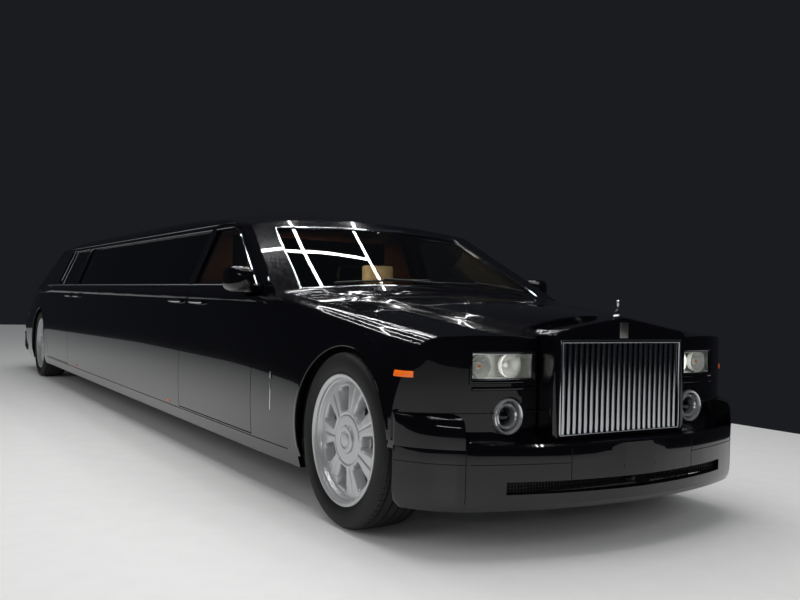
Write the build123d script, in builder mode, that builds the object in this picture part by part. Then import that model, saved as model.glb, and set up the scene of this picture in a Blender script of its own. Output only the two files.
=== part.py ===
from build123d import *
from collections import namedtuple
import math
import os

os.makedirs("parts", exist_ok=True)

# Stretch limousine. X points forward, Y to the left, Z up, the floor is Z 0, millimetres.

# Driving dimensions
overall_length = 9644
front_overhang = 810
wheelbase = 7380
track = 1685
body_half_width = 995
roof_top_z = 1632
body_bottom_z = 188
shut_gap = 6

# Lines along the length, each measured from the axle or end that it belongs to
nose_x = overall_length / 2
tail_x = -overall_length / 2
front_axle_x = nose_x - front_overhang
rear_axle_x = front_axle_x - wheelbase
wing_front_x = front_axle_x + 605
header_front_x = front_axle_x + 700
nose_wall = 60
header_back_x = wing_front_x - nose_wall
bonnet_gap = 12
bonnet_front_x = header_back_x - bonnet_gap
bonnet_rear_x = front_axle_x - 700
bonnet_front_y = 580
bonnet_rear_y = 725
lid_front_y = 700
lid_rear_y = 610
lid_bottom_z = 630
firewall_x = front_axle_x - 700
firewall_thickness = 30
screen_base_x = front_axle_x - 735
front_door_x = front_axle_x - 945
front_door_length = 1205
rear_door_x = rear_axle_x + 520
rear_door_length = 1180
bulkhead_x = rear_axle_x - 60
backlight_base_x = rear_axle_x - 370
lid_front_x = backlight_base_x - 40

# Heights and thicknesses of the body
sill_top_z = 272
sill_y = 985
wide_z = 610
belt_z = 1047
belt_y = 930
gutter_z = 1440
gutter_y = 772
side_thickness = 120
sill_inner_y = 790
glass_drop = 30
skin_thickness = 28
pillar_thickness = 48
roof_thickness = 42
panel_thickness = 34
floor_z = 262
floor_thickness = 30
tunnel_top_z = 412
tunnel_half = 70

# Wheels
tyre_radius = 382
tyre_width = 255
rim_seat_radius = 263
rim_lip_radius = 284
arch_radius = 402
housing_radius = 432
housing_inner_y = 680
housing_outer_y = 967
wheel_z = tyre_radius
wheel_y = track / 2
plate_z = 345
plate_hole_spacing = 178
plate_hole_radius = 3

# Sections of the lower body. The crease is the edge of the raised middle of the bonnet, and the two
# drops say how far the crease and the valley beside it lie under the plain arch of the section.
Body = namedtuple("Body", "x sill_y wide_y shoulder_y shoulder_z edge_y edge_z crown_z"
                          " crease_y crease_drop valley_drop")
body_rows = [
    Body(nose_x - 150, 915, 935, 895, 770, 800, 838, 936, 380, 44, 74),
    Body(front_axle_x + 300, sill_y - 25, 975, 920, 815, 815, 884, 960, 430, 10, 40),
    Body(front_door_x + 20, sill_y, body_half_width, 955, 960, 905, 1036, 1062, 600, 1, 6),
    Body(rear_door_x, sill_y, body_half_width, 955, 975, belt_y, belt_z, 1062, 600, 0, 0),
    Body(backlight_base_x, sill_y, body_half_width - 4, 945, 960, 880, 1040, 1092, 500, 0, 0),
    Body(rear_axle_x - 960, 950, 962, 900, 880, 815, 955, 1018, 480, 0, 0),
    Body(tail_x + 20, 880, 900, 830, 740, 730, 820, 868, 440, 0, 0),
]
valley_width = 22

Roof = namedtuple("Roof", "x gutter_z crown_z")
roof_rows = [
    Roof(front_door_x + 300, 1386, 1480),
    Roof(front_axle_x - 1560, 1386, 1480),
    Roof(front_axle_x - 2100, 1424, 1568),
    Roof(front_axle_x - 2850, gutter_z, 1622),
    Roof(front_axle_x - 3500, gutter_z, roof_top_z),
    Roof(rear_axle_x + 1900, gutter_z, roof_top_z),
    Roof(rear_axle_x + 950, 1436, 1606),
    Roof(rear_axle_x + 300, 1408, 1548),
    Roof(backlight_base_x - 300, 1408, 1548),
]


def cross_plane(x):
    return Plane(origin=(x, 0, 0), x_dir=(0, 1, 0), z_dir=(1, 0, 0))


def side_prism(outline, y_from, y_to, grow=0):
    """Side outline of (X, Z) points, swept from one Y to another."""
    with BuildPart() as prism:
        with BuildSketch(Plane.XZ.offset(-y_to)):
            with BuildLine():
                Polyline(*outline, close=True)
            make_face()
            if grow:
                offset(amount=grow, kind=Kind.INTERSECTION)
        extrude(amount=y_to - y_from)
    return prism.part


def plan_prism(outline, z_from, z_to, grow=0):
    """Plan outline of (X, Y) points, swept from one Z to another."""
    with BuildPart() as prism:
        with BuildSketch(Plane.XY.offset(z_from)):
            with BuildLine():
                Polyline(*outline, close=True)
            make_face()
            if grow:
                offset(amount=grow, kind=Kind.INTERSECTION)
        extrude(amount=z_to - z_from)
    return prism.part


def block(x_from, x_to, y_from, y_to, z_from, z_to):
    with BuildPart() as solid:
        with Locations(((x_from + x_to) / 2, (y_from + y_to) / 2, (z_from + z_to) / 2)):
            Box(abs(x_to - x_from), abs(y_to - y_from), abs(z_to - z_from))
    return solid.part


def arch_z(row, y):
    """Height of the plain arch from a section's crown to its edge."""
    rise = row.crown_z - row.edge_z
    radius = (row.edge_y ** 2 + rise ** 2) / (2 * rise)
    return row.crown_z - radius + math.sqrt(radius ** 2 - y ** 2)


def body_slice(row, inset):
    """Right half of a section of the lower body, drawn in by the inset."""
    foot = (inset - row.sill_y, sill_top_z)
    wide = (inset - row.wide_y, wide_z)
    shoulder = (inset - row.shoulder_y, row.shoulder_z - inset / 2)
    edge = (inset - row.edge_y, row.edge_z - inset)
    bulge = ((shoulder[0] + edge[0]) / 2 - 14, (row.shoulder_z + row.edge_z) / 2 + 12 - inset)
    crown = (0, row.crown_z - inset)
    valley_y = row.crease_y + valley_width
    wing_y = (valley_y + row.edge_y) / 2
    crease = (-row.crease_y, arch_z(row, row.crease_y) - row.crease_drop - inset)
    valley = (-valley_y, arch_z(row, valley_y) - row.valley_drop - inset)
    middle = (-row.crease_y / 2, arch_z(row, row.crease_y / 2) - 0.2 * row.crease_drop - inset)
    wing_top = (-wing_y, arch_z(row, wing_y) - 0.37 * row.valley_drop - inset)
    with BuildSketch(cross_plane(row.x)) as outline:
        with BuildLine():
            Polyline(crown, (0, body_bottom_z), (foot[0] + 22, body_bottom_z), foot)
            ThreePointArc(foot, wide, shoulder)
            ThreePointArc(shoulder, bulge, edge)
            ThreePointArc(edge, wing_top, valley)
            Line(valley, crease)
            ThreePointArc(crease, middle, crown)
        make_face()
    return outline.sketch


def lower_body(inset=0):
    with BuildPart() as hull:
        loft([body_slice(row, inset) for row in body_rows], ruled=True)
    return hull.part


def side_lean(z):
    """Half width of the side glass plane at a height."""
    return belt_y - (z - belt_z) * (belt_y - gutter_y) / (gutter_z - belt_z)


def roof_slice(row, side_inset, roof_inset):
    """Right half of a section of the part above the belt."""
    rise = row.crown_z - row.gutter_z
    foot_z = belt_z - 60
    gutter = (side_inset - side_lean(row.gutter_z - roof_inset), row.gutter_z - roof_inset)
    shoulder = (gutter[0] + 0.48 * rise, gutter[1] + 0.46 * rise)
    bulge = ((gutter[0] + shoulder[0]) / 2 - 14, (gutter[1] + shoulder[1]) / 2 + 8)
    crown = (0, row.crown_z - roof_inset)
    with BuildSketch(cross_plane(row.x)) as outline:
        with BuildLine():
            Polyline(crown, (0, foot_z), (side_inset - side_lean(foot_z), foot_z), gutter)
            ThreePointArc(gutter, bulge, shoulder)
            TangentArc(crown, shoulder, tangent=(-1, 0))
        make_face()
    return outline.sketch


# The windscreen and the rear window lie on large cylinders that lean with their rake
Rake = namedtuple("Rake", "x z angle direction")
screen_rake = Rake(screen_base_x, 1064, 27, 1)
backlight_rake = Rake(backlight_base_x, 1088, 33.5, -1)
glass_sweep = 80
glass_half = 1100


def rake_plane(rake, along=0):
    """Plane square to the rake: its X is Y of the car, its Y points out of the glass."""
    up_x = -rake.direction * math.cos(math.radians(rake.angle))
    up_z = math.sin(math.radians(rake.angle))
    origin = (rake.x + along * up_x, 0, rake.z + along * up_z)
    return Plane(origin=origin, x_dir=(0, -rake.direction, 0), z_dir=(up_x, 0, up_z))


def rake_cutter(rake, drop=0):
    """Everything in front of the curved glass surface, lowered by the drop."""
    with BuildPart() as cutter:
        with BuildSketch(rake_plane(rake, -400)):
            with BuildLine():
                edge = (glass_half, -glass_sweep - drop)
                Polyline((-edge[0], edge[1]), (-edge[0], 1500), (edge[0], 1500), edge)
                ThreePointArc(edge, (0, -drop), (-edge[0], edge[1]))
            make_face()
        extrude(amount=1900)
    return cutter.part


def greenhouse(side_inset=0, roof_inset=0, glass_inset=0):
    with BuildPart() as house:
        loft([roof_slice(row, side_inset, roof_inset) for row in roof_rows], ruled=True)
        add(rake_cutter(screen_rake, glass_inset), mode=Mode.SUBTRACT)
        add(rake_cutter(backlight_rake, glass_inset), mode=Mode.SUBTRACT)
    return house.part


def arch_cutter(x, side):
    """Wheel opening in one body side: the lip, and the wider housing behind it."""
    with BuildPart() as cutter:
        for radius, inner_y, outer_y in ((arch_radius, housing_outer_y - 1, 1100),
                                         (housing_radius, housing_inner_y, housing_outer_y)):
            with BuildSketch(Plane.XZ.offset(-side * outer_y)):
                with Locations((x, wheel_z)):
                    Circle(radius)
                with Locations((x, wheel_z - radius / 2)):
                    Rectangle(1.9 * radius, radius)
            extrude(amount=side * (outer_y - inner_y))
    return cutter.part


def drum(x, y, radius, z_from, z_to):
    """Upright cylinder."""
    with BuildPart() as solid:
        with BuildSketch(Plane.XY.offset(z_from)):
            with Locations((x, y)):
                Circle(radius)
        extrude(amount=z_to - z_from)
    return solid.part


def cut_from(base, *cutters):
    with BuildPart() as result:
        add(base)
        for cutter in cutters:
            add(cutter, mode=Mode.SUBTRACT)
    return result.part


def common(base, *others):
    with BuildPart() as result:
        add(base)
        for other in others:
            add(other, mode=Mode.INTERSECT)
    return result.part


def joined(*pieces):
    """Several pieces as one node."""
    with BuildPart() as group:
        for piece in pieces:
            add(piece)
    return group.part


def both_sides(right):
    """A right-hand piece and its mirror image."""
    with BuildPart() as pair:
        add(right)
        mirror(right, about=Plane.XZ)
    return pair.part


def save(part, name):
    part.label = name
    export_step(part, f"parts/{name}.step")


# Outer form: nose and tail corners rounded in plan
def plan_form(inset=0):
    with BuildPart() as form:
        with BuildSketch(Plane.XY):
            with BuildLine():
                nose = [(wing_front_x, -420), (wing_front_x - 62, -800), (wing_front_x - 215, -1000)]
                tail = [(tail_x + 330, -1000), (tail_x + 100, -800), (tail_x + 30, -480)]
                ThreePointArc(*nose)
                Line(nose[-1], tail[0])
                ThreePointArc(*tail)
                Line(tail[-1], (tail_x + 22, 0))
                Line((wing_front_x, 0), nose[0])
                mirror(about=Plane.XZ)
            make_face()
            if inset:
                offset(amount=-inset, kind=Kind.INTERSECTION)
        extrude(amount=roof_top_z + 10)
    return form.part


with BuildPart() as hull:
    add(lower_body())
    add(plan_form(), mode=Mode.INTERSECT)
    add(greenhouse())

# Hollows: engine bay, cabin, boot, and the space under the rear seat and the boot
rear_arch_front_x = rear_axle_x + housing_radius + 20
rear_arch_back_x = rear_axle_x - housing_radius - 20
deck_z = belt_z - 52
cabin_y = body_half_width - side_thickness
cabin_narrow_y = housing_inner_y - 20
boot_front_x = bulkhead_x - 30
shelf_z = deck_z - 37
boot_floor_z = 420
boot_floor_thickness = 30
seat_floor_z = 600
seat_floor_thickness = 40

with BuildPart() as engine_bay:
    add(lower_body(skin_thickness))
    add(block(firewall_x, nose_x, -1000, 1000, 0, 1100), mode=Mode.INTERSECT)
    add(plan_form(nose_wall), mode=Mode.INTERSECT)

with BuildPart() as cabin:
    cabin_front_x = firewall_x - firewall_thickness
    add(block(rear_arch_front_x, cabin_front_x, -sill_inner_y, sill_inner_y, -10, sill_top_z + 1))
    add(block(rear_arch_front_x, cabin_front_x, -cabin_y, cabin_y, sill_top_z, deck_z + 4))
    add(block(bulkhead_x, rear_arch_front_x + 1, -cabin_narrow_y, cabin_narrow_y, seat_floor_z, deck_z + 4))
    add(greenhouse(pillar_thickness, roof_thickness, glass_drop))

with BuildPart() as boot:
    add(lower_body(panel_thickness))
    add(block(tail_x, boot_front_x, -1000, 1000, boot_floor_z, 1200), mode=Mode.INTERSECT)
    add(plan_form(45), mode=Mode.INTERSECT)
    add(block(backlight_base_x - 20, 0, -1000, 1000, shelf_z, 1200), mode=Mode.SUBTRACT)
    add(block(rear_arch_back_x, 0, -cabin_narrow_y, -1000, 0, 1200), mode=Mode.SUBTRACT)

with BuildPart() as underside:
    add(block(tail_x, rear_arch_back_x, -1000, 1000, 0, boot_floor_z - boot_floor_thickness))
    add(block(rear_arch_back_x - 1, boot_front_x, -cabin_narrow_y, cabin_narrow_y,
              0, boot_floor_z - boot_floor_thickness))
    add(block(boot_front_x - 1, rear_arch_front_x - 40, -cabin_narrow_y, cabin_narrow_y,
              0, seat_floor_z - seat_floor_thickness))
    add(block(rear_arch_front_x - 41, rear_arch_front_x + 1, -cabin_narrow_y, cabin_narrow_y, 0, floor_z))
    add(block(rear_arch_front_x - 41, rear_arch_front_x + 1, -tunnel_half, tunnel_half, 0, tunnel_top_z - 22))
    add(lower_body(skin_thickness), mode=Mode.INTERSECT)
    add(plan_form(45), mode=Mode.INTERSECT)

with BuildPart() as shell:
    add(hull.part)
    for hollow in (engine_bay, cabin, boot, underside):
        add(hollow.part, mode=Mode.SUBTRACT)
    add(arch_cutter(rear_axle_x, -1), mode=Mode.SUBTRACT)
    add(arch_cutter(front_axle_x, -1), mode=Mode.SUBTRACT)
    add(block(rear_axle_x - 88, rear_axle_x + 100, -cabin_narrow_y + 10, -housing_inner_y - 10, 0, 480),
        mode=Mode.SUBTRACT)

# Side windows and doors in side view, (X, Z)
door_bottom_z = sill_top_z + shut_gap
door_top_z = gutter_z - 4
hinge_y = body_half_width + 2
hinge_inset = 8
front_hinge_x = front_door_x - hinge_inset
rear_hinge_x = rear_door_x + hinge_inset
front_swing = front_door_length - hinge_inset
rear_swing = rear_door_length - hinge_inset
window_bottom_z = belt_z + 14
window_top_z = door_top_z - 24
frame_width = 26
pillar_width = 120


def a_pillar_x(z):
    """Front edge of the windscreen pillar, seen from the side."""
    return front_axle_x - 860 - (z - belt_z) / math.tan(math.radians(screen_rake.angle + 0.6))


door_shoulder_z = door_top_z - 40
front_door_end_x = front_door_x - front_door_length
rear_door_end_x = rear_door_x + rear_door_length
front_door_outline = [
    (front_door_x, door_bottom_z), (front_door_x, belt_z - 6), (a_pillar_x(belt_z) - pillar_width, belt_z),
    (a_pillar_x(door_shoulder_z) - pillar_width, door_shoulder_z),
    (a_pillar_x(door_shoulder_z) - pillar_width - 240, door_top_z),
    (front_door_end_x - 60, door_top_z), (front_door_end_x - 60, door_bottom_z)]
rear_door_outline = [
    (rear_door_x + 150, door_bottom_z), (rear_door_x, door_bottom_z + 280), (rear_door_x, belt_z - 6),
    (rear_door_x + 215, belt_z), (rear_door_x + 245, door_top_z),
    (rear_door_end_x + 60, door_top_z), (rear_door_end_x + 60, door_bottom_z)]
window_front_x = a_pillar_x(window_bottom_z) - pillar_width - 62
front_window_outline = [
    (window_front_x, window_bottom_z),
    (a_pillar_x(door_shoulder_z - 24) - pillar_width - 62, door_shoulder_z - 24),
    (a_pillar_x(door_shoulder_z) - pillar_width - 250, window_top_z),
    (front_door_end_x + 52, window_top_z), (front_door_end_x + 32, window_bottom_z)]
rear_window_outline = [
    (rear_door_x + 215 + frame_width, window_bottom_z), (rear_door_x + 242 + frame_width, window_top_z),
    (rear_door_end_x - 52, window_top_z), (rear_door_end_x - 32, window_bottom_z)]
mid_window_outline = [
    (front_door_end_x - 44, window_bottom_z), (front_door_end_x - 24, window_top_z),
    (rear_door_end_x + 24, window_top_z), (rear_door_end_x + 44, window_bottom_z)]


def lean_band(depth_from, depth_to):
    """Slab parallel to the right-hand side glass, between two depths."""
    low_z = belt_z - 100
    high_z = gutter_z + 100
    with BuildPart() as band:
        with BuildSketch(cross_plane(tail_x)):
            with BuildLine():
                Polyline((depth_from - side_lean(low_z), low_z), (depth_to - side_lean(low_z), low_z),
                         (depth_to - side_lean(high_z), high_z), (depth_from - side_lean(high_z), high_z),
                         close=True)
            make_face()
        extrude(amount=overall_length)
    return band.part


with BuildPart() as side_zone:
    add(block(tail_x, nose_x, -1020, -cabin_y + 4, 0, belt_z - 40))
    add(lean_band(-80, pillar_thickness + 4))


def door_region(outline, hinge_x, swing, gap):
    """Space of one right-hand door. The closing edge is a cylinder about the hinge line."""
    with BuildPart() as region:
        add(side_prism(outline, -1010, -500, gap))
        add(drum(hinge_x, -hinge_y, swing + gap, 0, roof_top_z), mode=Mode.INTERSECT)
        add(side_zone.part, mode=Mode.INTERSECT)
    return region.part


front_region = door_region(front_door_outline, front_hinge_x, front_swing, 0)
rear_region = door_region(rear_door_outline, rear_hinge_x, rear_swing, 0)
front_opening = door_region(front_door_outline, front_hinge_x, front_swing, shut_gap)
rear_opening = door_region(rear_door_outline, rear_hinge_x, rear_swing, shut_gap)


def rake_prism(rake, low, high, low_half, high_half):
    """Window outline on the rake, swept square to the glass."""
    up_x = -rake.direction * math.cos(math.radians(rake.angle))
    up_z = math.sin(math.radians(rake.angle))
    face = Plane(origin=(rake.x, 0, rake.z), x_dir=(0, rake.direction, 0),
                 z_dir=(rake.direction * up_z, 0, abs(up_x)))
    with BuildPart() as prism:
        with BuildSketch(face):
            with BuildLine():
                Polyline((-low_half, low), (-high_half, high), (high_half, high), (low_half, low), close=True)
            make_face()
        extrude(amount=120, both=True)
    return prism.part


screen_opening = rake_prism(screen_rake, 22, 800, 800, 655)
backlight_opening = rake_prism(backlight_rake, 40, 690, 740, 600)


def pane(rake, opening):
    return cut_from(common(opening, rake_cutter(rake, 12)), rake_cutter(rake, 5))


windscreen = pane(screen_rake, screen_opening)
backlight = pane(backlight_rake, backlight_opening)

# Lids in plan, (X, Y)
bonnet_outline = [(bonnet_front_x, -bonnet_front_y), (bonnet_front_x, bonnet_front_y),
                  (bonnet_rear_x, bonnet_rear_y), (bonnet_rear_x, -bonnet_rear_y)]
lid_outline = [(lid_front_x, -lid_front_y), (lid_front_x, lid_front_y),
               (tail_x - 20, lid_rear_y), (tail_x - 20, -lid_rear_y)]

with BuildPart() as fixed:
    add(shell.part)
    add(plan_prism(bonnet_outline, 700, 1200, shut_gap), mode=Mode.SUBTRACT)
    add(plan_prism(lid_outline, lid_bottom_z - shut_gap, 1200, shut_gap), mode=Mode.SUBTRACT)
    for opening in (front_opening, rear_opening, side_prism(mid_window_outline, -1010, -500)):
        add(opening, mode=Mode.SUBTRACT)
    add(screen_opening, mode=Mode.SUBTRACT)
    add(backlight_opening, mode=Mode.SUBTRACT)


# Fixed body split at its real panel joints, each piece taken from what the last ones left
seam_z = 555
tail_seam_z = 575
roof_split_z = door_top_z + shut_gap
cowl_y = 850
far = 1100


def take(rest, *regions):
    """Split the rest of the body into the piece inside the regions and what stays."""
    with BuildPart() as zone:
        for region in regions:
            add(region)
    piece = common(rest, zone.part)
    return piece, cut_from(rest, zone.part)


def pair_of_blocks(x_from, x_to, y_from, y_to, z_from, z_to):
    return (block(x_from, x_to, -y_to, -y_from, z_from, z_to),
            block(x_from, x_to, y_from, y_to, z_from, z_to))


header_half = 392
header_bottom_z = 445
headlamp_low_z = 684
headlamp_high_z = 792
headlamp_inner_y = 408
headlamp_outer_y = 702
fog_y = 537
fog_z = 539
fog_radius = 74
marker_x = front_axle_x + 466

rest = fixed.part
header_gap = block(header_back_x - 1, nose_x, -header_half, header_half, header_bottom_z - 5, far)
rest = cut_from(rest, header_gap)
lamp_wells = pair_of_blocks(wing_front_x - 200, nose_x, headlamp_inner_y, headlamp_outer_y,
                            headlamp_low_z, headlamp_high_z)
rest = cut_from(rest, *lamp_wells)
with BuildPart() as fog_bores:
    with BuildSketch(cross_plane(wing_front_x - 200)):
        with Locations((-fog_y, fog_z), (fog_y, fog_z)):
            Circle(fog_radius + 6)
    extrude(amount=300)
rest = cut_from(rest, fog_bores.part)

sill_blocks = pair_of_blocks(rear_axle_x, front_axle_x, sill_inner_y, far, 0, sill_top_z)
sills, rest = take(rest, *sill_blocks)
with BuildPart() as jack_pads:
    jack_xs = (front_door_x - 150, rear_door_x + 400)
    with Locations(*[(x, side * 880, body_bottom_z - 5) for x in jack_xs for side in (-1, 1)]):
        Box(120, 70, 10)
with BuildPart() as sills_node:
    add(sills)
    add(jack_pads.part)

markers, rest = take(rest, *pair_of_blocks(marker_x - 68, marker_x + 68, 905, far, 692, 718))
tail_lamps, rest = take(rest, *pair_of_blocks(tail_x, tail_x + 190, 660, far, 590, 745))
bumper_skin, rest = take(rest, block(front_axle_x, nose_x, -far, far, 0, seam_z))
rear_bumper_skin, rest = take(rest, block(tail_x, tail_x + 560, -far, far, 0, tail_seam_z))
wing_tops = pair_of_blocks(front_door_x - 1, nose_x, cowl_y, far, 0, belt_z)
wings_rear, rest = take(rest, *wing_tops)
firewall, rest = take(rest, block(firewall_x - 200, firewall_x + 1, -cowl_y - 1, cowl_y + 1, 0, deck_z + 4))
roof_outline = [(bonnet_rear_x + shut_gap - 1, deck_z + 4), (bonnet_rear_x + shut_gap - 1, roof_top_z + 50),
                (tail_x, roof_top_z + 50), (tail_x, roof_split_z), (front_door_end_x + 90, roof_split_z),
                (front_door_end_x + 90, deck_z + 4)]
roof, rest = take(rest, side_prism(roof_outline, -far, far))
wings_front, rest = take(rest, block(front_door_x - 1, nose_x, -far, far, 0, far))
with BuildPart() as wings_node:
    add(wings_rear)
    add(wings_front)
side_panels, rest = take(rest, block((rear_door_x + rear_door_end_x) / 2, front_door_x, -far, far, 0, 2000))
with BuildPart() as rear_interior:
    add(lower_body(panel_thickness))
    add(block(tail_x, rear_arch_front_x + 1, -1000, 1000, 0, shelf_z), mode=Mode.INTERSECT)
    add(plan_form(45), mode=Mode.INTERSECT)
    add(block(rear_arch_back_x, rear_arch_front_x + 2, -housing_inner_y, -1000, 0, 1200), mode=Mode.SUBTRACT)
rear_floor, rear_quarters = take(rest, rear_interior.part)

# Hinge seats of the two lids: a round seat on the body, and the lid cut to it with a running gap
running_gap = 0.3
hinge_seat_radius = 20
hinge_seat_y = 320
hinge_seat_width = 40
bonnet_hinge_x = bonnet_rear_x - shut_gap / 2
bonnet_hinge_z = 1048
lid_hinge_x = lid_front_x + shut_gap / 2
lid_hinge_z = 1091


def hinge_drum(x, z, radius):
    """Right-hand cylinder about a lid's hinge line."""
    with BuildPart() as solid:
        with BuildSketch(Plane.XZ.offset(hinge_seat_y - hinge_seat_width / 2)):
            with Locations((x, z)):
                Circle(radius)
        extrude(amount=hinge_seat_width)
    return solid.part


bonnet_seat = common(shell.part, hinge_drum(bonnet_hinge_x, bonnet_hinge_z, hinge_seat_radius))
lid_seat = common(shell.part, hinge_drum(lid_hinge_x, lid_hinge_z, hinge_seat_radius))
roof = joined(roof, bonnet_seat)
rear_quarters = joined(rear_quarters, lid_seat)
bonnet = cut_from(common(shell.part, plan_prism(bonnet_outline, 750, 1200)),
                  hinge_drum(bonnet_hinge_x, bonnet_hinge_z, hinge_seat_radius + running_gap))
boot_lid = cut_from(common(shell.part, plan_prism(lid_outline, lid_bottom_z, 1200)),
                    hinge_drum(lid_hinge_x, lid_hinge_z, hinge_seat_radius + running_gap),
                    common(lower_body(panel_thickness), block(rear_arch_back_x - 2, 0, -1000, 0, 0, 1200)))

# Front bumper: the skin under the seam and the deep lip that stands out below it
lip_top_z = 445
lip_bottom_z = 190
lip_wall = 46


def bumper_plan(front, side_x, side_y, inset, z):
    """Lip seen in plan, bowed across the end and slanted at its corners."""
    sign = 1 if front > 0 else -1
    with BuildSketch(Plane.XY.offset(z)) as plan:
        with BuildLine():
            Polyline((side_x, 0), (side_x, -side_y), (side_x + sign * 110, -side_y + 6))
            ThreePointArc((side_x + sign * 110, -side_y + 6), (front - sign * 140, -870),
                          (front - sign * 66, -760))
            ThreePointArc((front - sign * 66, -760), (front - sign * 18, -400), (front, 0))
            Line((front, 0), (side_x, 0))
        make_face()
        mirror(about=Plane.XZ)
        if inset:
            offset(amount=-inset, kind=Kind.INTERSECTION)
    return plan.sketch


def bumper_lip(front, side_x, side_y, steps):
    """Lip lofted through plans, each step an (inset, Z) pair."""
    with BuildPart() as lip:
        for (inset_from, z_from), (inset_to, z_to) in zip(steps, steps[1:]):
            loft([bumper_plan(front, side_x, side_y, inset_from, z_from),
                  bumper_plan(front, side_x, side_y, inset_to, z_to)], ruled=True)
    return lip.part


lip_side_x = front_axle_x + 396
lip_side_y = 968
steered_reach = 432
ledge_depth = 110
ledge_top_z = 482
ledge_length = 330
plate_y = 349
with BuildPart() as front_bumper:
    add(bumper_lip(nose_x, lip_side_x, lip_side_y,
                   [(24, lip_bottom_z), (7, lip_bottom_z + 22), (0, lip_bottom_z + 60), (0, lip_top_z - 22),
                    (5, lip_top_z - 7), (16, lip_top_z)]))
    add(bumper_lip(nose_x, lip_side_x, lip_side_y, [(lip_wall, lip_bottom_z - 10), (lip_wall, lip_top_z - 30)]),
        mode=Mode.SUBTRACT)
    add(block(lip_side_x - 10, wing_front_x - nose_wall, -850, 850, 0, lip_top_z + 10), mode=Mode.SUBTRACT)
    add(block(lip_side_x - 10, front_axle_x + steered_reach, -945, 945, 0, lip_top_z + 10), mode=Mode.SUBTRACT)
    add(block(lip_side_x - 10, lip_side_x + 60, -far, far, 0, lip_top_z - 30), mode=Mode.SUBTRACT)
    add(block(wing_front_x, nose_x + 10, -620, 620, 256, 304), mode=Mode.SUBTRACT)
    add(common(both_sides(bumper_skin), block(front_axle_x, nose_x, -far, far, lip_top_z - 2, seam_z)))
    for side in (-1, 1):
        with BuildSketch(Plane.XZ.offset(-side * (header_half + 6))):
            with BuildLine():
                Polyline((wing_front_x + ledge_depth, lip_top_z - 3), (wing_front_x - 50, lip_top_z - 3),
                         (wing_front_x - 50, ledge_top_z), (wing_front_x - 2, ledge_top_z))
                ThreePointArc((wing_front_x - 2, ledge_top_z), (wing_front_x + 22, lip_top_z + 14),
                              (wing_front_x + ledge_depth, lip_top_z - 3))
            make_face()
        extrude(amount=-side * ledge_length)
    add(fog_bores.part, mode=Mode.SUBTRACT)
    with BuildSketch(cross_plane(nose_x - 60)):
        with Locations((-plate_hole_spacing / 2, plate_z), (plate_hole_spacing / 2, plate_z)):
            Circle(plate_hole_radius)
    extrude(amount=80, mode=Mode.SUBTRACT)

with BuildPart() as rear_bumper:
    add(both_sides(rear_bumper_skin))
    add(bumper_lip(tail_x, tail_x + 420, lip_side_y, [(20, 240), (0, 285), (0, 455), (12, 470)]))
    add(bumper_lip(tail_x, tail_x + 420, lip_side_y, [(lip_wall, 200), (lip_wall, 440)]), mode=Mode.SUBTRACT)
    add(block(tail_x + 75, tail_x + 500, -820, 820, 0, 560), mode=Mode.SUBTRACT)
    with BuildSketch(cross_plane(tail_x - 20)):
        with Locations((-plate_hole_spacing / 2, plate_z), (plate_hole_spacing / 2, plate_z)):
            Circle(plate_hole_radius)
    extrude(amount=80, mode=Mode.SUBTRACT)

# Grille: a temple-shaped header that holds a thin bright frame full of upright vanes
grille_half = 352
grille_low_z = 459
grille_high_z = 845
grille_depth = 70
frame_bar = 9
vane_count = 22
vane_width = 9
vane_depth = 34
seat_gap = 0.3

with BuildPart() as nose_panel:
    with BuildSketch(cross_plane(header_back_x)):
        with BuildLine():
            Polyline((0, header_bottom_z), (header_half - 8, header_bottom_z), (header_half - 8, 868),
                     (header_half - 30, 886), (0, 944), close=False)
            mirror(about=Plane.YZ)
        make_face()
    extrude(amount=header_front_x - header_back_x)
    with BuildSketch(cross_plane(header_front_x)):
        with Locations((0, (grille_low_z + grille_high_z) / 2)):
            Rectangle(2 * grille_half, grille_high_z - grille_low_z)
    extrude(amount=-grille_depth, mode=Mode.SUBTRACT)

with BuildPart() as grille:
    with BuildSketch(cross_plane(header_front_x - 8)):
        with Locations((0, (grille_low_z + grille_high_z) / 2)):
            Rectangle(2 * grille_half - 2 * seat_gap, grille_high_z - grille_low_z - 2 * seat_gap)
            Rectangle(2 * (grille_half - frame_bar), grille_high_z - grille_low_z - 2 * frame_bar,
                      mode=Mode.SUBTRACT)
    extrude(amount=12)
    vane_pitch = 2 * (grille_half - frame_bar) / vane_count
    vane_round_x = header_front_x - vane_width / 2
    with BuildSketch(Plane.XY.offset(grille_low_z + frame_bar - 1)):
        with Locations((vane_round_x, 0)):
            with GridLocations(0, vane_pitch, 1, vane_count):
                Circle(vane_width / 2)
        with Locations((vane_round_x - vane_depth / 2, 0)):
            with GridLocations(0, vane_pitch, 1, vane_count):
                Rectangle(vane_depth, vane_width)
    extrude(amount=grille_high_z - grille_low_z - 2 * frame_bar + 2)

with BuildPart() as ornament:
    with BuildSketch(Plane.XY.offset(944 + seat_gap)):
        with Locations((header_front_x - 40, 0)):
            Circle(19)
    extrude(amount=12)
    with BuildSketch(Plane.XY.offset(956)):
        with Locations((header_front_x - 40, 0)):
            Circle(9)
    extrude(amount=60, taper=2)

# Lamps
with BuildPart() as headlamps:
    for side in (-1, 1):
        low_y = side * (headlamp_inner_y + seat_gap)
        high_y = side * (headlamp_outer_y - seat_gap)
        add(block(wing_front_x - 120, wing_front_x - 62, low_y, high_y,
                  headlamp_low_z + seat_gap, headlamp_high_z - seat_gap))
        with BuildSketch(cross_plane(wing_front_x - 62)):
            with Locations((side * 630, 738), (side * 490, 738)):
                Circle(44)
                Circle(30, mode=Mode.SUBTRACT)
        extrude(amount=22)

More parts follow.
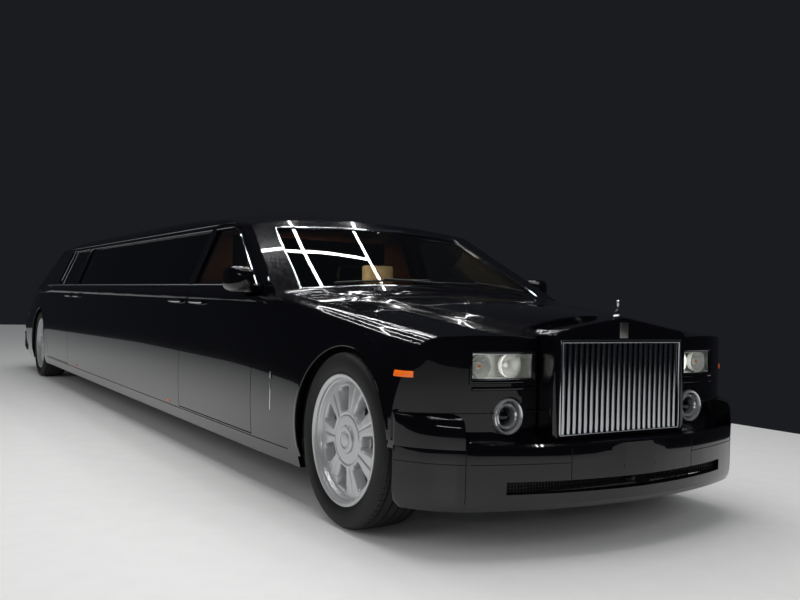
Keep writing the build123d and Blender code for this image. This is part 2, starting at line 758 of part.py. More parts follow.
with BuildPart() as fog_lamps:
    with BuildSketch(cross_plane(wing_front_x - 75)):
        with Locations((-fog_y, fog_z), (fog_y, fog_z)):
            Circle(fog_radius + 6 - seat_gap)
    extrude(amount=40)
    with BuildSketch(cross_plane(wing_front_x - 40)):
        with Locations((-fog_y, fog_z), (fog_y, fog_z)):
            Circle(fog_radius)
            Circle(fog_radius - 14, mode=Mode.SUBTRACT)
    extrude(amount=52)

# Chassis, floor and running gear
hub_inner_y = wheel_y - 40
spindle_radius = 32
spindle_end_y = wheel_y + 38
rail_top_z = floor_z
rail_bottom_z = 170
rail_y = 400
rail_width = 90
with BuildPart() as chassis:
    for side in (-1, 1):
        add(block(tail_x + 90, wing_front_x - nose_wall, side * (rail_y - rail_width / 2),
                  side * (rail_y + rail_width / 2), rail_bottom_z, rail_top_z))
    cross_xs = [front_axle_x + 420, front_axle_x, firewall_x + 60, front_door_end_x, 0,
                rear_door_end_x, rear_arch_front_x, rear_axle_x, rear_axle_x - 700]
    for x in cross_xs:
        add(block(x - 50, x + 50, -rail_y, rail_y, rail_bottom_z, rail_top_z - 20))
    for side in (-1, 1):
        add(block(front_axle_x - 90, front_axle_x + 90, side * 420, side * 445, rail_top_z - 20, 700))
        add(block(front_axle_x - 90, front_axle_x + 90, side * 420, side * 650, 700, 720))

shaft_z = 330
diff_front_x = rear_axle_x + 150
engine_back_x = front_axle_x - 600
cabin_floor_z = floor_z + floor_thickness
with BuildPart() as floor_pan:
    add(block(rear_arch_front_x, cabin_front_x, -sill_inner_y, sill_inner_y, floor_z, cabin_floor_z))
    with BuildSketch(cross_plane(rear_arch_front_x)):
        with Locations((0, (cabin_floor_z + tunnel_top_z) / 2)):
            Trapezoid(300, tunnel_top_z - cabin_floor_z, 76)
    extrude(amount=cabin_front_x - rear_arch_front_x)
    add(both_sides(firewall))
    add(block(rear_arch_front_x - 10, firewall_x + 10, -tunnel_half, tunnel_half,
              floor_z - 10, tunnel_top_z - 22), mode=Mode.SUBTRACT)
    add(block(firewall_x - 50, firewall_x + 10, -470, 470, 0, floor_z), mode=Mode.SUBTRACT)

engine_block = block(engine_back_x, front_axle_x + 330, -310, 310, rail_top_z - 20 + running_gap, 800)

exhaust_half = 85
exhaust_y = rail_y - rail_width / 2 - exhaust_half - running_gap
with BuildPart() as exhaust:
    for side in (-1, 1):
        low_y = side * (exhaust_y - exhaust_half)
        high_y = side * (exhaust_y + exhaust_half)
        add(block(tail_x + 130, tail_x + 620, low_y, high_y, rail_top_z - 80, rail_top_z + 60))
        with BuildSketch(cross_plane(tail_x + 81)):
            with Locations((side * exhaust_y, rail_top_z - 46)):
                Circle(32)
                Circle(28, mode=Mode.SUBTRACT)
        extrude(amount=50)

with BuildPart() as driveline:
    with BuildSketch(cross_plane(diff_front_x - 5)):
        with Locations((0, shaft_z)):
            Circle(45)
    extrude(amount=engine_back_x - diff_front_x + 5 - running_gap)
    with BuildSketch(Plane.XZ):
        with Locations((rear_axle_x, wheel_z)):
            Circle(spindle_radius)
    extrude(amount=spindle_end_y, both=True)
    add(block(rear_axle_x - 85, diff_front_x, -150, 150, rail_top_z - 20 + running_gap, 490))
    for side in (-1, 1):
        carrier_y = side * (hub_inner_y - 70)
        with BuildSketch(Plane.XZ.offset(-carrier_y)):
            with Locations((rear_axle_x, wheel_z)):
                Circle(70)
        extrude(amount=-side * 62)
        add(block(rear_axle_x - 60, rear_axle_x + 60, side * (rail_y - 40), carrier_y + side * 20,
                  rail_top_z + running_gap, wheel_z - 45))

kingpin_y = 735
post_bottom_z = 285
post_top_z = 500
with BuildPart() as front_suspension:
    for side in (-1, 1):
        inner_y = side * (rail_y + rail_width / 2)
        for z_from, z_to, spread in ((post_bottom_z - 45, post_bottom_z - running_gap, 110),
                                     (post_top_z + running_gap, post_top_z + 26, 125)):
            arm = plan_prism([(front_axle_x - spread, inner_y), (front_axle_x + spread, inner_y),
                              (front_axle_x + 34, side * (kingpin_y + 10)),
                              (front_axle_x - 34, side * (kingpin_y + 10))], z_from, z_to)
            if z_from > post_top_z:
                arm = cut_from(arm, drum(front_axle_x, side * 600, 38, 0, 1000))
            add(arm)
        add(drum(front_axle_x, side * 600, 31, post_bottom_z - running_gap - 1, 700 - running_gap))


def knuckle(side):
    with BuildPart() as part:
        add(drum(front_axle_x, side * kingpin_y, 28, post_bottom_z, post_top_z))
        for radius, y_from, y_to in ((46, kingpin_y, hub_inner_y - 8),
                                     (spindle_radius, kingpin_y, spindle_end_y)):
            with BuildSketch(Plane.XZ.offset(-side * y_from)):
                with Locations((front_axle_x, wheel_z)):
                    Circle(radius)
            extrude(amount=-side * (y_to - y_from))
    return part.part


# Wheels: local X is the radius and local Y the distance outwards from the wheel's centre
window_count = 7
window_low_r = 130
window_high_r = 226
window_half_angle = 10.5
window_corner = 12
face_depth = 60
face_thickness = 32
face_radius = 248

with BuildSketch() as wheel_window:
    slant_x = math.cos(math.radians(window_half_angle))
    slant_y = math.sin(math.radians(window_half_angle))
    with BuildLine():
        low_corner = (window_low_r * slant_x, window_low_r * slant_y)
        high_corner = (window_high_r * slant_x, window_high_r * slant_y)
        Polyline((high_corner[0], -high_corner[1]), (low_corner[0], -low_corner[1]), low_corner, high_corner)
        ThreePointArc(high_corner, (window_high_r, 0), (high_corner[0], -high_corner[1]))
    make_face()
    fillet(wheel_window.vertices(), window_corner)


def wheel_section(x, side):
    """Plane that holds half of the wheel's section, for a revolve about its Y axis."""
    return Plane(origin=(x, side * wheel_y, wheel_z), x_dir=(1, 0, 0), z_dir=(0, 0, side))


def wheel(x, side):
    section = wheel_section(x, side)
    hub_axis = Axis((x, side * wheel_y, wheel_z), (0, side, 0))
    face = Plane(origin=(x, side * wheel_y, wheel_z), x_dir=(1, 0, 0), z_dir=(0, side, 0))
    with BuildPart() as rim:
        with BuildSketch(section):
            with BuildLine():
                Polyline((245, -118), (rim_lip_radius, -118), (rim_lip_radius, -110), (rim_seat_radius, -106),
                         (rim_seat_radius, 106), (rim_lip_radius, 110), (rim_lip_radius, 118), (264, 118),
                         (247, 96), (247, 60), (245, 50), close=True)
            make_face()
            with BuildLine():
                Polyline((0, 94), (48, 94), (60, 88), (92, 84), (92, 62), (72, 30), (72, -14), (178, -14),
                         (178, -38), (72, -38), (72, -40), (0, -40), close=True)
            make_face()
        revolve(axis=hub_axis)
        with BuildSketch(face.offset(face_depth)):
            Circle(face_radius)
            Circle(70, mode=Mode.SUBTRACT)
            with PolarLocations(0, window_count):
                add(wheel_window.sketch, mode=Mode.SUBTRACT)
        extrude(amount=face_thickness)
        with BuildSketch(face.offset(-41)):
            Circle(spindle_radius + running_gap)
        extrude(amount=82, mode=Mode.SUBTRACT)
    return rim.part


def tyre(x, side):
    hub_axis = Axis((x, side * wheel_y, wheel_z), (0, side, 0))
    half = tyre_width / 2
    with BuildPart() as ring:
        with BuildSketch(wheel_section(x, side)):
            with BuildLine():
                Polyline((rim_seat_radius + running_gap, 105), (rim_lip_radius + 2, 109), (305, half - 2),
                         (340, half), (tyre_radius - 14, half - 9), (tyre_radius, half - 34),
                         (tyre_radius, 34 - half), (tyre_radius - 14, 9 - half), (340, -half),
                         (305, 2 - half), (rim_lip_radius + 2, -109), (rim_seat_radius + running_gap, -105),
                         close=True)
            make_face()
        revolve(axis=hub_axis)
    return ring.part


# Inside
dash_back_x = front_axle_x - 1060
dash_y = cabin_y - 7
seat_front_x = front_axle_x - 1400
with BuildPart() as dashboard:
    dash_outline = [(cabin_front_x - running_gap, 560), (cabin_front_x - running_gap, 985),
                    (dash_back_x + 90, 985), (dash_back_x, 930), (dash_back_x + 60, 620), (dash_back_x + 160, 560)]
    add(side_prism(dash_outline, -dash_y, dash_y))

wheel_driver_y = 400
with BuildPart() as steering_wheel:
    column = Plane(origin=(dash_back_x - 170, wheel_driver_y, 900), x_dir=(0, 1, 0),
                   z_dir=(-math.cos(math.radians(25)), 0, math.sin(math.radians(25))))
    with BuildSketch(column):
        Circle(200)
        Circle(176, mode=Mode.SUBTRACT)
        Circle(60)
        Rectangle(360, 26)
    extrude(amount=22)
    with BuildSketch(column):
        Circle(30)
    extrude(amount=-240)
    add(dashboard.part, mode=Mode.SUBTRACT)

with BuildPart() as front_seats:
    seat_outline = [
        (seat_front_x, cabin_floor_z + 90), (seat_front_x + 10, 540), (seat_front_x - 500, 520),
        (seat_front_x - 640, 1090), (seat_front_x - 660, 1240), (seat_front_x - 740, 1240),
        (seat_front_x - 730, 1080), (seat_front_x - 640, 480), (seat_front_x - 600, cabin_floor_z + running_gap),
        (seat_front_x - 60, cabin_floor_z + running_gap)]
    for side in (-1, 1):
        y_pair = sorted((side * 175, side * 700))
        add(side_prism(seat_outline, *y_pair))

partition_x = front_door_end_x - 130
with BuildPart() as partition:
    add(block(partition_x - 36, partition_x, -cabin_y, 0, cabin_floor_z, roof_top_z))
    add(cabin.part, mode=Mode.INTERSECT)
    add(block(partition_x - 50, partition_x + 10, -154, 0, 0, tunnel_top_z + running_gap), mode=Mode.SUBTRACT)
    add(block(partition_x - 50, partition_x + 10, -600, 0, 980, 1400), mode=Mode.SUBTRACT)
    mirror(about=Plane.XZ)

lounge_front_x = partition_x - 120
lounge_back_x = rear_door_end_x + 180
bench_y = cabin_y - 7
with BuildPart() as lounge_seats:
    with BuildSketch(cross_plane(lounge_back_x)):
        with BuildLine():
            Polyline((430, cabin_floor_z + running_gap), (430, 640), (720, 620), (770, 980), (bench_y, 980),
                     (bench_y, cabin_floor_z + running_gap), close=True)
        make_face()
    extrude(amount=lounge_front_x - lounge_back_x)
    rear_seat_front_x = rear_door_x + 410
    rear_outline = [
        (rear_seat_front_x, cabin_floor_z + running_gap), (rear_seat_front_x, 640),
        (rear_seat_front_x - 520, 650), (rear_seat_front_x - 690, 1200), (rear_seat_front_x - 800, 1190),
        (rear_seat_front_x - 760, seat_floor_z + running_gap), (rear_arch_front_x + 1, seat_floor_z + running_gap),
        (rear_arch_front_x + 1, cabin_floor_z + running_gap)]
    add(side_prism(rear_outline, 6 - cabin_narrow_y, cabin_narrow_y - 6))
    add(block(rear_arch_front_x, rear_seat_front_x + 10, -154, 154, 0, tunnel_top_z + running_gap),
        mode=Mode.SUBTRACT)

with BuildPart() as cabinet:
    add(block(lounge_back_x, lounge_front_x, -bench_y, -560, cabin_floor_z + running_gap, 800))
    with Locations((lounge_front_x - 400, -690, 815)):
        Box(500, 160, 30)

# Doors with their mirrors and pull handles
handle_z = 945
handle_length = 250
handle_y = 956


def pull_handle(x):
    """Bar that stands off the right-hand side on two feet."""
    with BuildPart() as handle:
        add(block(x, x - handle_length, -handle_y - 28, -handle_y - 14, handle_z - 11, handle_z + 11))
        for foot_x in (x - 4, x - handle_length + 34):
            add(block(foot_x, foot_x - 30, -handle_y - 20, -handle_y + 12, handle_z - 9, handle_z + 9))
    return handle.part


mirror_x = front_axle_x - 1050
mirror_outer_y = 1100
with BuildPart() as door_mirror:
    with BuildSketch(cross_plane(mirror_x - 70)):
        with Locations((-(mirror_outer_y + 962) / 2, 1050)):
            RectangleRounded(mirror_outer_y - 962, 104, 30)
    extrude(amount=140, taper=6)
    add(block(mirror_x - 35, mirror_x + 35, -975, -925, 1015, 1045))

doors = {}
for name, region, window, extras in (
        ("front", front_region, front_window_outline, [pull_handle(front_door_end_x + 350), door_mirror.part]),
        ("rear", rear_region, rear_window_outline, [pull_handle(rear_door_end_x - 70)])):
    window_prism = side_prism(window, -1010, -500)
    with BuildPart() as panel:
        add(common(shell.part, region))
        add(window_prism, mode=Mode.SUBTRACT)
        for extra in extras:
            add(extra)
    doors[name] = (panel.part, common(window_prism, lean_band(16, 21)))

with BuildPart() as side_panels_node:
    add(both_sides(side_panels))
    for x in (front_door_end_x - 70, rear_door_end_x + 320):
        add(both_sides(pull_handle(x)))

with BuildPart() as fixed_glass:
    add(windscreen)
    add(backlight)
    mid_glass = common(side_prism(mid_window_outline, -1010, -500), lean_band(16, 21))
    add(mid_glass)
    mirror(mid_glass, about=Plane.XZ)

# Every piece, by its name
nodes = {
    "sills": both_sides(sills_node.part), "tail_lamps": both_sides(tail_lamps),
    "front_bumper": front_bumper.part, "rear_bumper": rear_bumper.part, "front_wings": both_sides(wings_node.part),
    "roof": both_sides(roof), "side_panels": side_panels_node.part, "rear_quarters": both_sides(rear_quarters),
    "nose_panel": nose_panel.part, "grille": joined(grille.part, ornament.part),
    "front_lamps": joined(headlamps.part, fog_lamps.part, both_sides(markers)), "chassis": chassis.part,
    "floor_pan": floor_pan.part, "rear_floor": both_sides(rear_floor),
    "engine_block": engine_block, "exhaust": exhaust.part, "driveline": driveline.part,
    "front_suspension": front_suspension.part, "dashboard": dashboard.part, "steering_wheel": steering_wheel.part,
    "front_seats": front_seats.part, "partition": partition.part, "lounge_seats": lounge_seats.part,
    "cabinet": cabinet.part, "fixed_glass": fixed_glass.part,
    "bonnet": both_sides(bonnet), "boot_lid": both_sides(boot_lid),
}
for end in ("front", "rear"):
    panel, glass = doors[end]
    axle_x = front_axle_x if end == "front" else rear_axle_x
    nodes[f"{end}_right_door"] = panel
    nodes[f"{end}_left_door"] = mirror(panel, about=Plane.XZ)
    nodes[f"{end}_right_glass"] = glass
    nodes[f"{end}_left_glass"] = mirror(glass, about=Plane.XZ)
    for hand, side in (("right", -1), ("left", 1)):
        nodes[f"{end}_{hand}_wheel"] = wheel(axle_x, side)
        nodes[f"{end}_{hand}_tyre"] = tyre(axle_x, side)
nodes["right_knuckle"] = knuckle(-1)
nodes["left_knuckle"] = knuckle(1)
for name, part in nodes.items():
    save(part, name)
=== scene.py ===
import logging
import math
from dataclasses import dataclass, field
from enum import Enum
from typing import ClassVar, Iterable, Sequence

import bmesh
import bpy
import numpy as np
from mathutils import Matrix, Vector
from mathutils.bvhtree import BVHTree


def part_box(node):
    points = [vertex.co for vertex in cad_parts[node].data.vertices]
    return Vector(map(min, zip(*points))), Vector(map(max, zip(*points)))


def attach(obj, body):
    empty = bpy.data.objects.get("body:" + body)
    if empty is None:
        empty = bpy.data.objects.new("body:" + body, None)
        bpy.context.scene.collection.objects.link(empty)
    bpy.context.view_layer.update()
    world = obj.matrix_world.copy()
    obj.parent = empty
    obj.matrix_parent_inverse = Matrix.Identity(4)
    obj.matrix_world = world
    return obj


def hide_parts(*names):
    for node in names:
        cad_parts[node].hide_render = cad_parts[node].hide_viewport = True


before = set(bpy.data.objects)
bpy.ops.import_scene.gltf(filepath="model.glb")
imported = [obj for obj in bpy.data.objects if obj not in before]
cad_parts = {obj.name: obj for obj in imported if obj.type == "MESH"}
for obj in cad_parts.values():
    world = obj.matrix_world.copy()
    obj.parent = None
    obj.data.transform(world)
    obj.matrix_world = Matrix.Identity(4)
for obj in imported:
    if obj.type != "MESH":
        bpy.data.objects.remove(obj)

log = logging.getLogger("limousine")
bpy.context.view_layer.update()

Point = tuple[float, float, float]
Flat = tuple[float, float]
Ray = tuple[Point, Point]

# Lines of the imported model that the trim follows, in metres
FRONT_AXLE, REAR_AXLE = 4.012, -3.368
AXLE_Z, WHEEL_Y = 0.382, 0.8425
WING_FRONT, HEADER_FRONT = 4.617, 4.712
BELT_Z, BELT_Y = 1.047, 0.930
SIDE_LEAN = (0.930 - 0.772) / (1.440 - 1.047)
CABIN_Y, CABIN_FRONT, CABIN_BACK = 0.875, 3.282, -2.916
SEAT_FRONT = 2.612
HANDLE_Z = 0.945
# Feet of the windscreen and the rear window: X, Z, and the lean from level in degrees
SCREEN_FOOT, REAR_GLASS_FOOT = (3.277, 1.064, 27), (-3.738, 1.088, 33.5)
AHEAD = (1, 0, 0)
SIDES = (("right", -1), ("left", 1))


def linear(colour: str) -> tuple[float, float, float, float]:
    """Turns an sRGB hex colour into linear light, with an alpha of 1."""
    parts = [int(colour[i:i + 2], 16) / 255 for i in (1, 3, 5)]
    return (*[c / 12.92 if c <= 0.04045 else ((c + 0.055) / 1.055) ** 2.4 for c in parts], 1.0)


def run(start: float, stop: float, count: int) -> list[float]:
    """Evenly spaced numbers from start to stop, one more than count."""
    return [start + (stop - start) * k / count for k in range(count + 1)]


def around(count: int) -> list[float]:
    """Angles of equal steps round a circle."""
    return [2 * math.pi * k / count for k in range(count)]


def power(value: float, exponent: float) -> float:
    """Power that keeps the sign."""
    return math.copysign(abs(value) ** exponent, value)


def hold(name: str, data: bpy.types.ID) -> bpy.types.Object:
    """Puts a new object into the scene.

    Args:
        name: its name.
        data: its mesh, light or camera.

    Returns:
        The object.
    """
    made = bpy.data.objects.new(name, data)
    bpy.context.scene.collection.objects.link(made)
    return made


def solid(made: bpy.types.Object) -> bpy.types.Mesh:
    """Plain mesh of an object with its modifiers applied."""
    return bpy.data.meshes.new_from_object(made.evaluated_get(bpy.context.evaluated_depsgraph_get()))


def read(items: bpy.types.bpy_prop_collection, name: str, width: int = 1, kind: type = float) -> np.ndarray:
    """Reads an attribute of every item.

    Args:
        items: vertices, edges, corners or faces of a mesh.
        name: name of the attribute.
        width: how many numbers it has.
        kind: float or int.

    Returns:
        One row for each item.
    """
    values = np.empty(len(items) * width, dtype=kind)
    items.foreach_get(name, values)
    return values.reshape(-1, width) if width > 1 else values


def add_node(tree: bpy.types.NodeTree, kind: str, settings: dict | None = None,
             links: dict | None = None) -> bpy.types.Node:
    """Adds a node with its settings and its incoming links.

    Args:
        tree: the node tree.
        kind: Blender's name for the node type.
        settings: values for its inputs, by name or number, or for its own properties.
        links: outputs of other nodes, by the name or number of the input that they feed.

    Returns:
        The new node.
    """
    made = tree.nodes.new(kind)
    for key, value in (settings or {}).items():
        if isinstance(key, int) or key in made.inputs:
            made.inputs[key].default_value = value
        else:
            setattr(made, key, value)
    for key, source in (links or {}).items():
        tree.links.new(source, made.inputs[key])
    return made


class Pattern(Enum):
    """Surface pattern that a finish carries, with the octaves of its noise."""

    PEEL = ("long soft waves of a sprayed clear coat", 1.0)
    BRUSHED = ("fine lines of a polishing belt", 2.0)
    PORES = ("fine moulded or cast grain", 4.0)
    HIDE = ("cells of tanned leather", 0.0)
    VEINS = ("long figure of a veneer", 6.0)
    DUST = ("faint smears on a smooth surface", 3.0)


@dataclass(frozen=True)
class Finish:
    """A real material, the record's slot for it, and how its surface was made.

    size_mm is the real size of the pattern. Lathe and rolling lines, moulded grain and cloth are too fine
    to show, so they are drawn coarser than they are.
    """

    name: str
    slot: str
    colour: str
    second: str
    roughness: float
    pattern: Pattern
    size_mm: float
    depth_mm: float
    spread: float
    sockets: tuple[tuple[str, float], ...] = ()
    stretch: Point = (1, 1, 1)

    def relief(self, tree: bpy.types.NodeTree, place: bpy.types.NodeSocket) -> bpy.types.NodeSocket:
        """Builds the relief of the pattern.

        Args:
            tree: the material's node tree.
            place: the coordinates, in metres.

        Returns:
            The output that holds the height, from 0 to 1.
        """
        scale = 1000 / self.size_mm
        if self.pattern is Pattern.HIDE:
            cells = add_node(tree, "ShaderNodeTexVoronoi", {"Scale": scale, "feature": "DISTANCE_TO_EDGE"},
                             {"Vector": place})
            return add_node(tree, "ShaderNodeMapRange", {"From Max": 0.25},
                            {"Value": cells.outputs[0]}).outputs[0]
        return add_node(tree, "ShaderNodeTexNoise", {"Scale": scale, "Detail": self.pattern.value[1],
                                                     "Roughness": 0.6}, {"Vector": place}).outputs["Fac"]

    def build(self) -> bpy.types.Material:
        """Makes the material once and hands the same one out again later.

        Returns:
            The node-based material.
        """
        made = bpy.data.materials.get(self.name)
        if made:
            return made
        made = bpy.data.materials.new(self.name)
        made.use_nodes = True
        tree = made.node_tree
        shader = tree.nodes["Principled BSDF"]
        place = add_node(tree, "ShaderNodeTexCoord").outputs["Object"]
        place = add_node(tree, "ShaderNodeMapping", {"Scale": self.stretch}, {"Vector": place}).outputs[0]
        relief = self.relief(tree, place)
        cloud = add_node(tree, "ShaderNodeTexNoise", {"Scale": 7.0, "Detail": 3.0},
                         {"Vector": place}).outputs["Fac"]
        # Veneer takes its colour from its figure; on leather the grooves between the cells take the darker
        # colour, which is painted shade in the creases
        tone = relief if self.pattern in (Pattern.VEINS, Pattern.HIDE) else cloud
        mix = add_node(tree, "ShaderNodeMix",
                       {"data_type": "RGBA", 6: linear(self.colour), 7: linear(self.second)}, {0: tone})
        rough = add_node(tree, "ShaderNodeMapRange", {"To Min": max(self.roughness - self.spread, 0.0),
                                                      "To Max": self.roughness + self.spread},
                         {"Value": cloud})
        bump = add_node(tree, "ShaderNodeBump", {"Distance": self.depth_mm / 1000, "Strength": 1.0},
                        {"Height": relief})
        for source, socket in ((mix.outputs[2], "Base Color"), (rough.outputs[0], "Roughness"),
                               (bump.outputs[0], "Normal")):
            tree.links.new(source, shader.inputs[socket])
        for socket, value in self.sockets:
            shader.inputs[socket].default_value = value
        return made


# Two-pack black enamel under a clear coat: deep gloss that mirrors the room, with a faint orange peel
PAINT = Finish("black_enamel_clearcoated", "black_paint", "#040406", "#060609", 0.14, Pattern.PEEL, 14,
               0.0012, 0.02, (("Coat Weight", 1.0), ("Coat Roughness", 0.01), ("Specular IOR Level", 0.06)))
# Plated brass trim: mirror bright, with polishing haze only
CHROME = Finish("chrome_plate_polished", "bright_chrome", "#D9DBDE", "#CDD0D4", 0.07, Pattern.DUST, 30,
                0.004, 0.03, (("Metallic", 1.0),))
# Wheel aluminium in silver lacquer: bright, satin, with fine lathe lines
ALLOY = Finish("aluminium_silver_lacquered", "wheel_alloy", "#C4C5C6", "#B4B5B7", 0.30, Pattern.BRUSHED, 2.5,
               0.01, 0.06, (("Metallic", 0.62), ("Coat Weight", 0.35)))
# Carbon-black tyre rubber: dull, slightly dusty, with a moulded skin
RUBBER = Finish("tyre_rubber_moulded", "tyre_rubber", "#0B0B0C", "#141414", 0.68, Pattern.PORES, 1.2, 0.05,
                0.08)
# Dark privacy glass: nearly black from outside
GLASS_DARK = Finish("float_glass_privacy_tint", "tinted_glass", "#0D1013", "#101417", 0.02, Pattern.DUST, 60,
                    0.002, 0.015, (("Transmission Weight", 0.85), ("IOR", 1.5)))
# Laminated glass of the windscreen and the front doors: a light green-grey tint
GLASS_CLEAR = Finish("laminated_glass_light_tint", "tinted_glass", "#AEB8B4", "#B4BDB9", 0.01, Pattern.DUST,
                     60, 0.002, 0.01, (("Transmission Weight", 1.0), ("IOR", 1.5)))
# Polycarbonate headlamp cover: clear and hard-coated
LENS_CLEAR = Finish("polycarbonate_clear", "lamp_bezels", "#F4F6F6", "#EDF1F1", 0.02, Pattern.DUST, 40,
                    0.003, 0.01, (("Transmission Weight", 1.0), ("IOR", 1.45)))
# Acrylic marker lens, amber right through, fluted inside
LENS_AMBER = Finish("acrylic_amber", "lamp_bezels", "#FF7A1C", "#F0651A", 0.12, Pattern.BRUSHED, 5, 0.2, 0.04,
                    (("Transmission Weight", 0.15), ("IOR", 1.49), ("Coat Weight", 0.6)))
# Acrylic tail lamp lens, ruby red
LENS_RED = Finish("acrylic_red", "red_lens", "#8E0A10", "#A10F14", 0.12, Pattern.BRUSHED, 6, 0.2, 0.04,
                  (("Transmission Weight", 0.15), ("IOR", 1.49), ("Coat Weight", 0.8)))
# Vacuum-metallised lamp bowl: silver with soft facets
REFLECTOR = Finish("lamp_bowl_metallised", "lamp_bezels", "#F2F1EC", "#DCDBD5", 0.26, Pattern.BRUSHED, 9,
                   0.2, 0.05, (("Metallic", 0.35),))
# Satin chrome of the lamp rings: silver that catches the room's light all round
SATIN = Finish("chrome_plate_satin", "lamp_bezels", "#DCDDDF", "#CED0D3", 0.18, Pattern.DUST, 30, 0.004, 0.03,
               (("Metallic", 0.8),))
# Black moulded plastic of grilles, seals and wiper arms: satin with a fine grain
PLASTIC = Finish("plastic_black_moulded", "lamp_bezels", "#121214", "#18181A", 0.5, Pattern.PORES, 1.5, 0.04,
                 0.08)
# Painted shadow in a shut line, slot or recess: dull black paint that stands in for the shade there
SHADOW_BLACK = Finish("painted_shadow_matt", "lamp_bezels", "#030304", "#060607", 0.85, Pattern.PORES, 2.0, 0.02, 0.05)
# Stone-chip coating of the underside: matt black, coarse
UNDERSEAL = Finish("underseal_sprayed", "black_paint", "#131314", "#1D1C1B", 0.8, Pattern.PORES, 6.0, 0.3,
                   0.08)
# Hot-rolled steel under chassis paint
STEEL = Finish("steel_chassis_painted", "chassis_steel", "#1B1C1E", "#26262A", 0.55, Pattern.PORES, 4.0, 0.1,
               0.1)
# Sand-cast aluminium of the power unit
CAST = Finish("aluminium_sand_cast", "cast_alloy", "#7E7F80", "#696A6B", 0.55, Pattern.PORES, 2.5, 0.15, 0.1,
              (("Metallic", 0.9),))
# Rolled stainless steel of the silencers, pipes and blank plates
STAINLESS = Finish("stainless_steel_rolled", "bright_chrome", "#A7A5A1", "#8E8B86", 0.33, Pattern.BRUSHED,
                   3.0, 0.02, 0.08, (("Metallic", 1.0),))
# Tanned tan hide of the seats and linings: soft sheen, pebbled cells about 3 mm wide, with painted shade in
# the grooves between them
HIDE = Finish("leather_tan_pebbled", "seat_leather", "#BE9766", "#CCA877", 0.48, Pattern.HIDE, 3.2, 0.12,
              0.08, (("Sheen Weight", 0.15), ("Coat Weight", 0.1)))
# Darker hide of the steering wheel's rim, with the same painted shade in its grooves
HIDE_DARK = Finish("leather_brown_piping", "dash_plastic", "#7A5738", "#8A6644", 0.5, Pattern.HIDE, 3.0, 0.1,
                   0.06)
# Wool cloth of the headlining and the carpets: matt and slightly mottled
WOOL = Finish("wool_cloth_beige", "seat_leather", "#9C8A70", "#8A7860", 0.95, Pattern.PORES, 1.6, 0.3, 0.03,
              (("Sheen Weight", 0.3),))
CARPET = Finish("wool_carpet_dark", "dash_plastic", "#2A2520", "#3A332B", 0.97, Pattern.PORES, 3.0, 0.8, 0.02,
                (("Sheen Weight", 0.3),))
# Lacquered walnut veneer: long dark figure under gloss
VENEER = Finish("walnut_veneer_lacquered", "cabin_veneer", "#3E2012", "#7A4726", 0.22, Pattern.VEINS, 16,
                0.01, 0.05, (("Coat Weight", 0.9), ("Coat Roughness", 0.04)), (0.25, 2.5, 2.5))
# Silvered mirror glass
MIRROR = Finish("mirror_glass_silvered", "bright_chrome", "#C9CDD0", "#C3C7CA", 0.02, Pattern.DUST, 50,
                0.002, 0.01, (("Metallic", 1.0),))
# Painted concrete floor: pale, softly mottled, half matt
FLOOR = Finish("concrete_floor_painted", "", "#D8D8D6", "#CFCFCD", 0.42, Pattern.DUST, 400, 0.05, 0.06)


@dataclass
class Piece:
    """One finished object: its name, its finishes, its body and the nodes that it stands for."""

    name: str
    finish: Finish
    body: str = "body"
    nodes: Sequence[str] = ()
    bevel: float = 0.0
    segments: int = 2
    crease: float = 32.0
    slot: str = ""
    more: Sequence[Finish] = ()

    def adopt(self, mesh: bpy.types.Mesh) -> bpy.types.Object:
        """Turns a mesh into the finished object.

        Args:
            mesh: the mesh, in the row frame.

        Returns:
            The object, riding on its body.
        """
        if "custom_normal" in mesh.attributes:
            mesh.attributes.remove(mesh.attributes["custom_normal"])
        mesh.materials.clear()
        for finish in (self.finish, *self.more):
            mesh.materials.append(finish.build())
        mesh.polygons.foreach_set("use_smooth", [True] * len(mesh.polygons))
        made = hold(self.name, mesh)
        if self.bevel:
            rounding = made.modifiers.new("rounding", "BEVEL")
            rounding.width = self.bevel
            rounding.segments = self.segments
            rounding.limit_method = "ANGLE"
            rounding.angle_limit = math.radians(30)
            baked = solid(made)
            made.modifiers.clear()
            made.data = baked
        made.data.set_sharp_from_angle(angle=math.radians(self.crease))
        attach(made, self.body)
        if self.nodes:
            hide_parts(*self.nodes)
        log.info("%s: %d faces", self.name, len(made.data.polygons))
        return made


def side_normal(side: int) -> Vector:
    """Outward direction of the leaning plane of the side glass."""
    return Vector((0, side, SIDE_LEAN)).normalized()


def glass_drop(across: float) -> float:
    """How far the curved windscreen falls back at a distance from its middle."""
    radius = (1.1 ** 2 + 0.08 ** 2) / 0.16
    return radius - math.sqrt(radius ** 2 - across ** 2)


def slope(degrees: float, direction: int) -> tuple[Vector, Vector]:
    """Directions up and out of a pane that leans back by an angle from level."""
    c, s = math.cos(math.radians(degrees)), math.sin(math.radians(degrees))
    return Vector((-direction * c, 0, s)), Vector((direction * s, 0, c))


def eased(points: Sequence[Flat], steps: int) -> list[Flat]:
    """Puts more points on every run of a loop."""
    return [(x0 + (x1 - x0) * k / steps, y0 + (y1 - y0) * k / steps)
            for (x0, y0), (x1, y1) in zip(points, [*points[1:], points[0]]) for k in range(steps)]


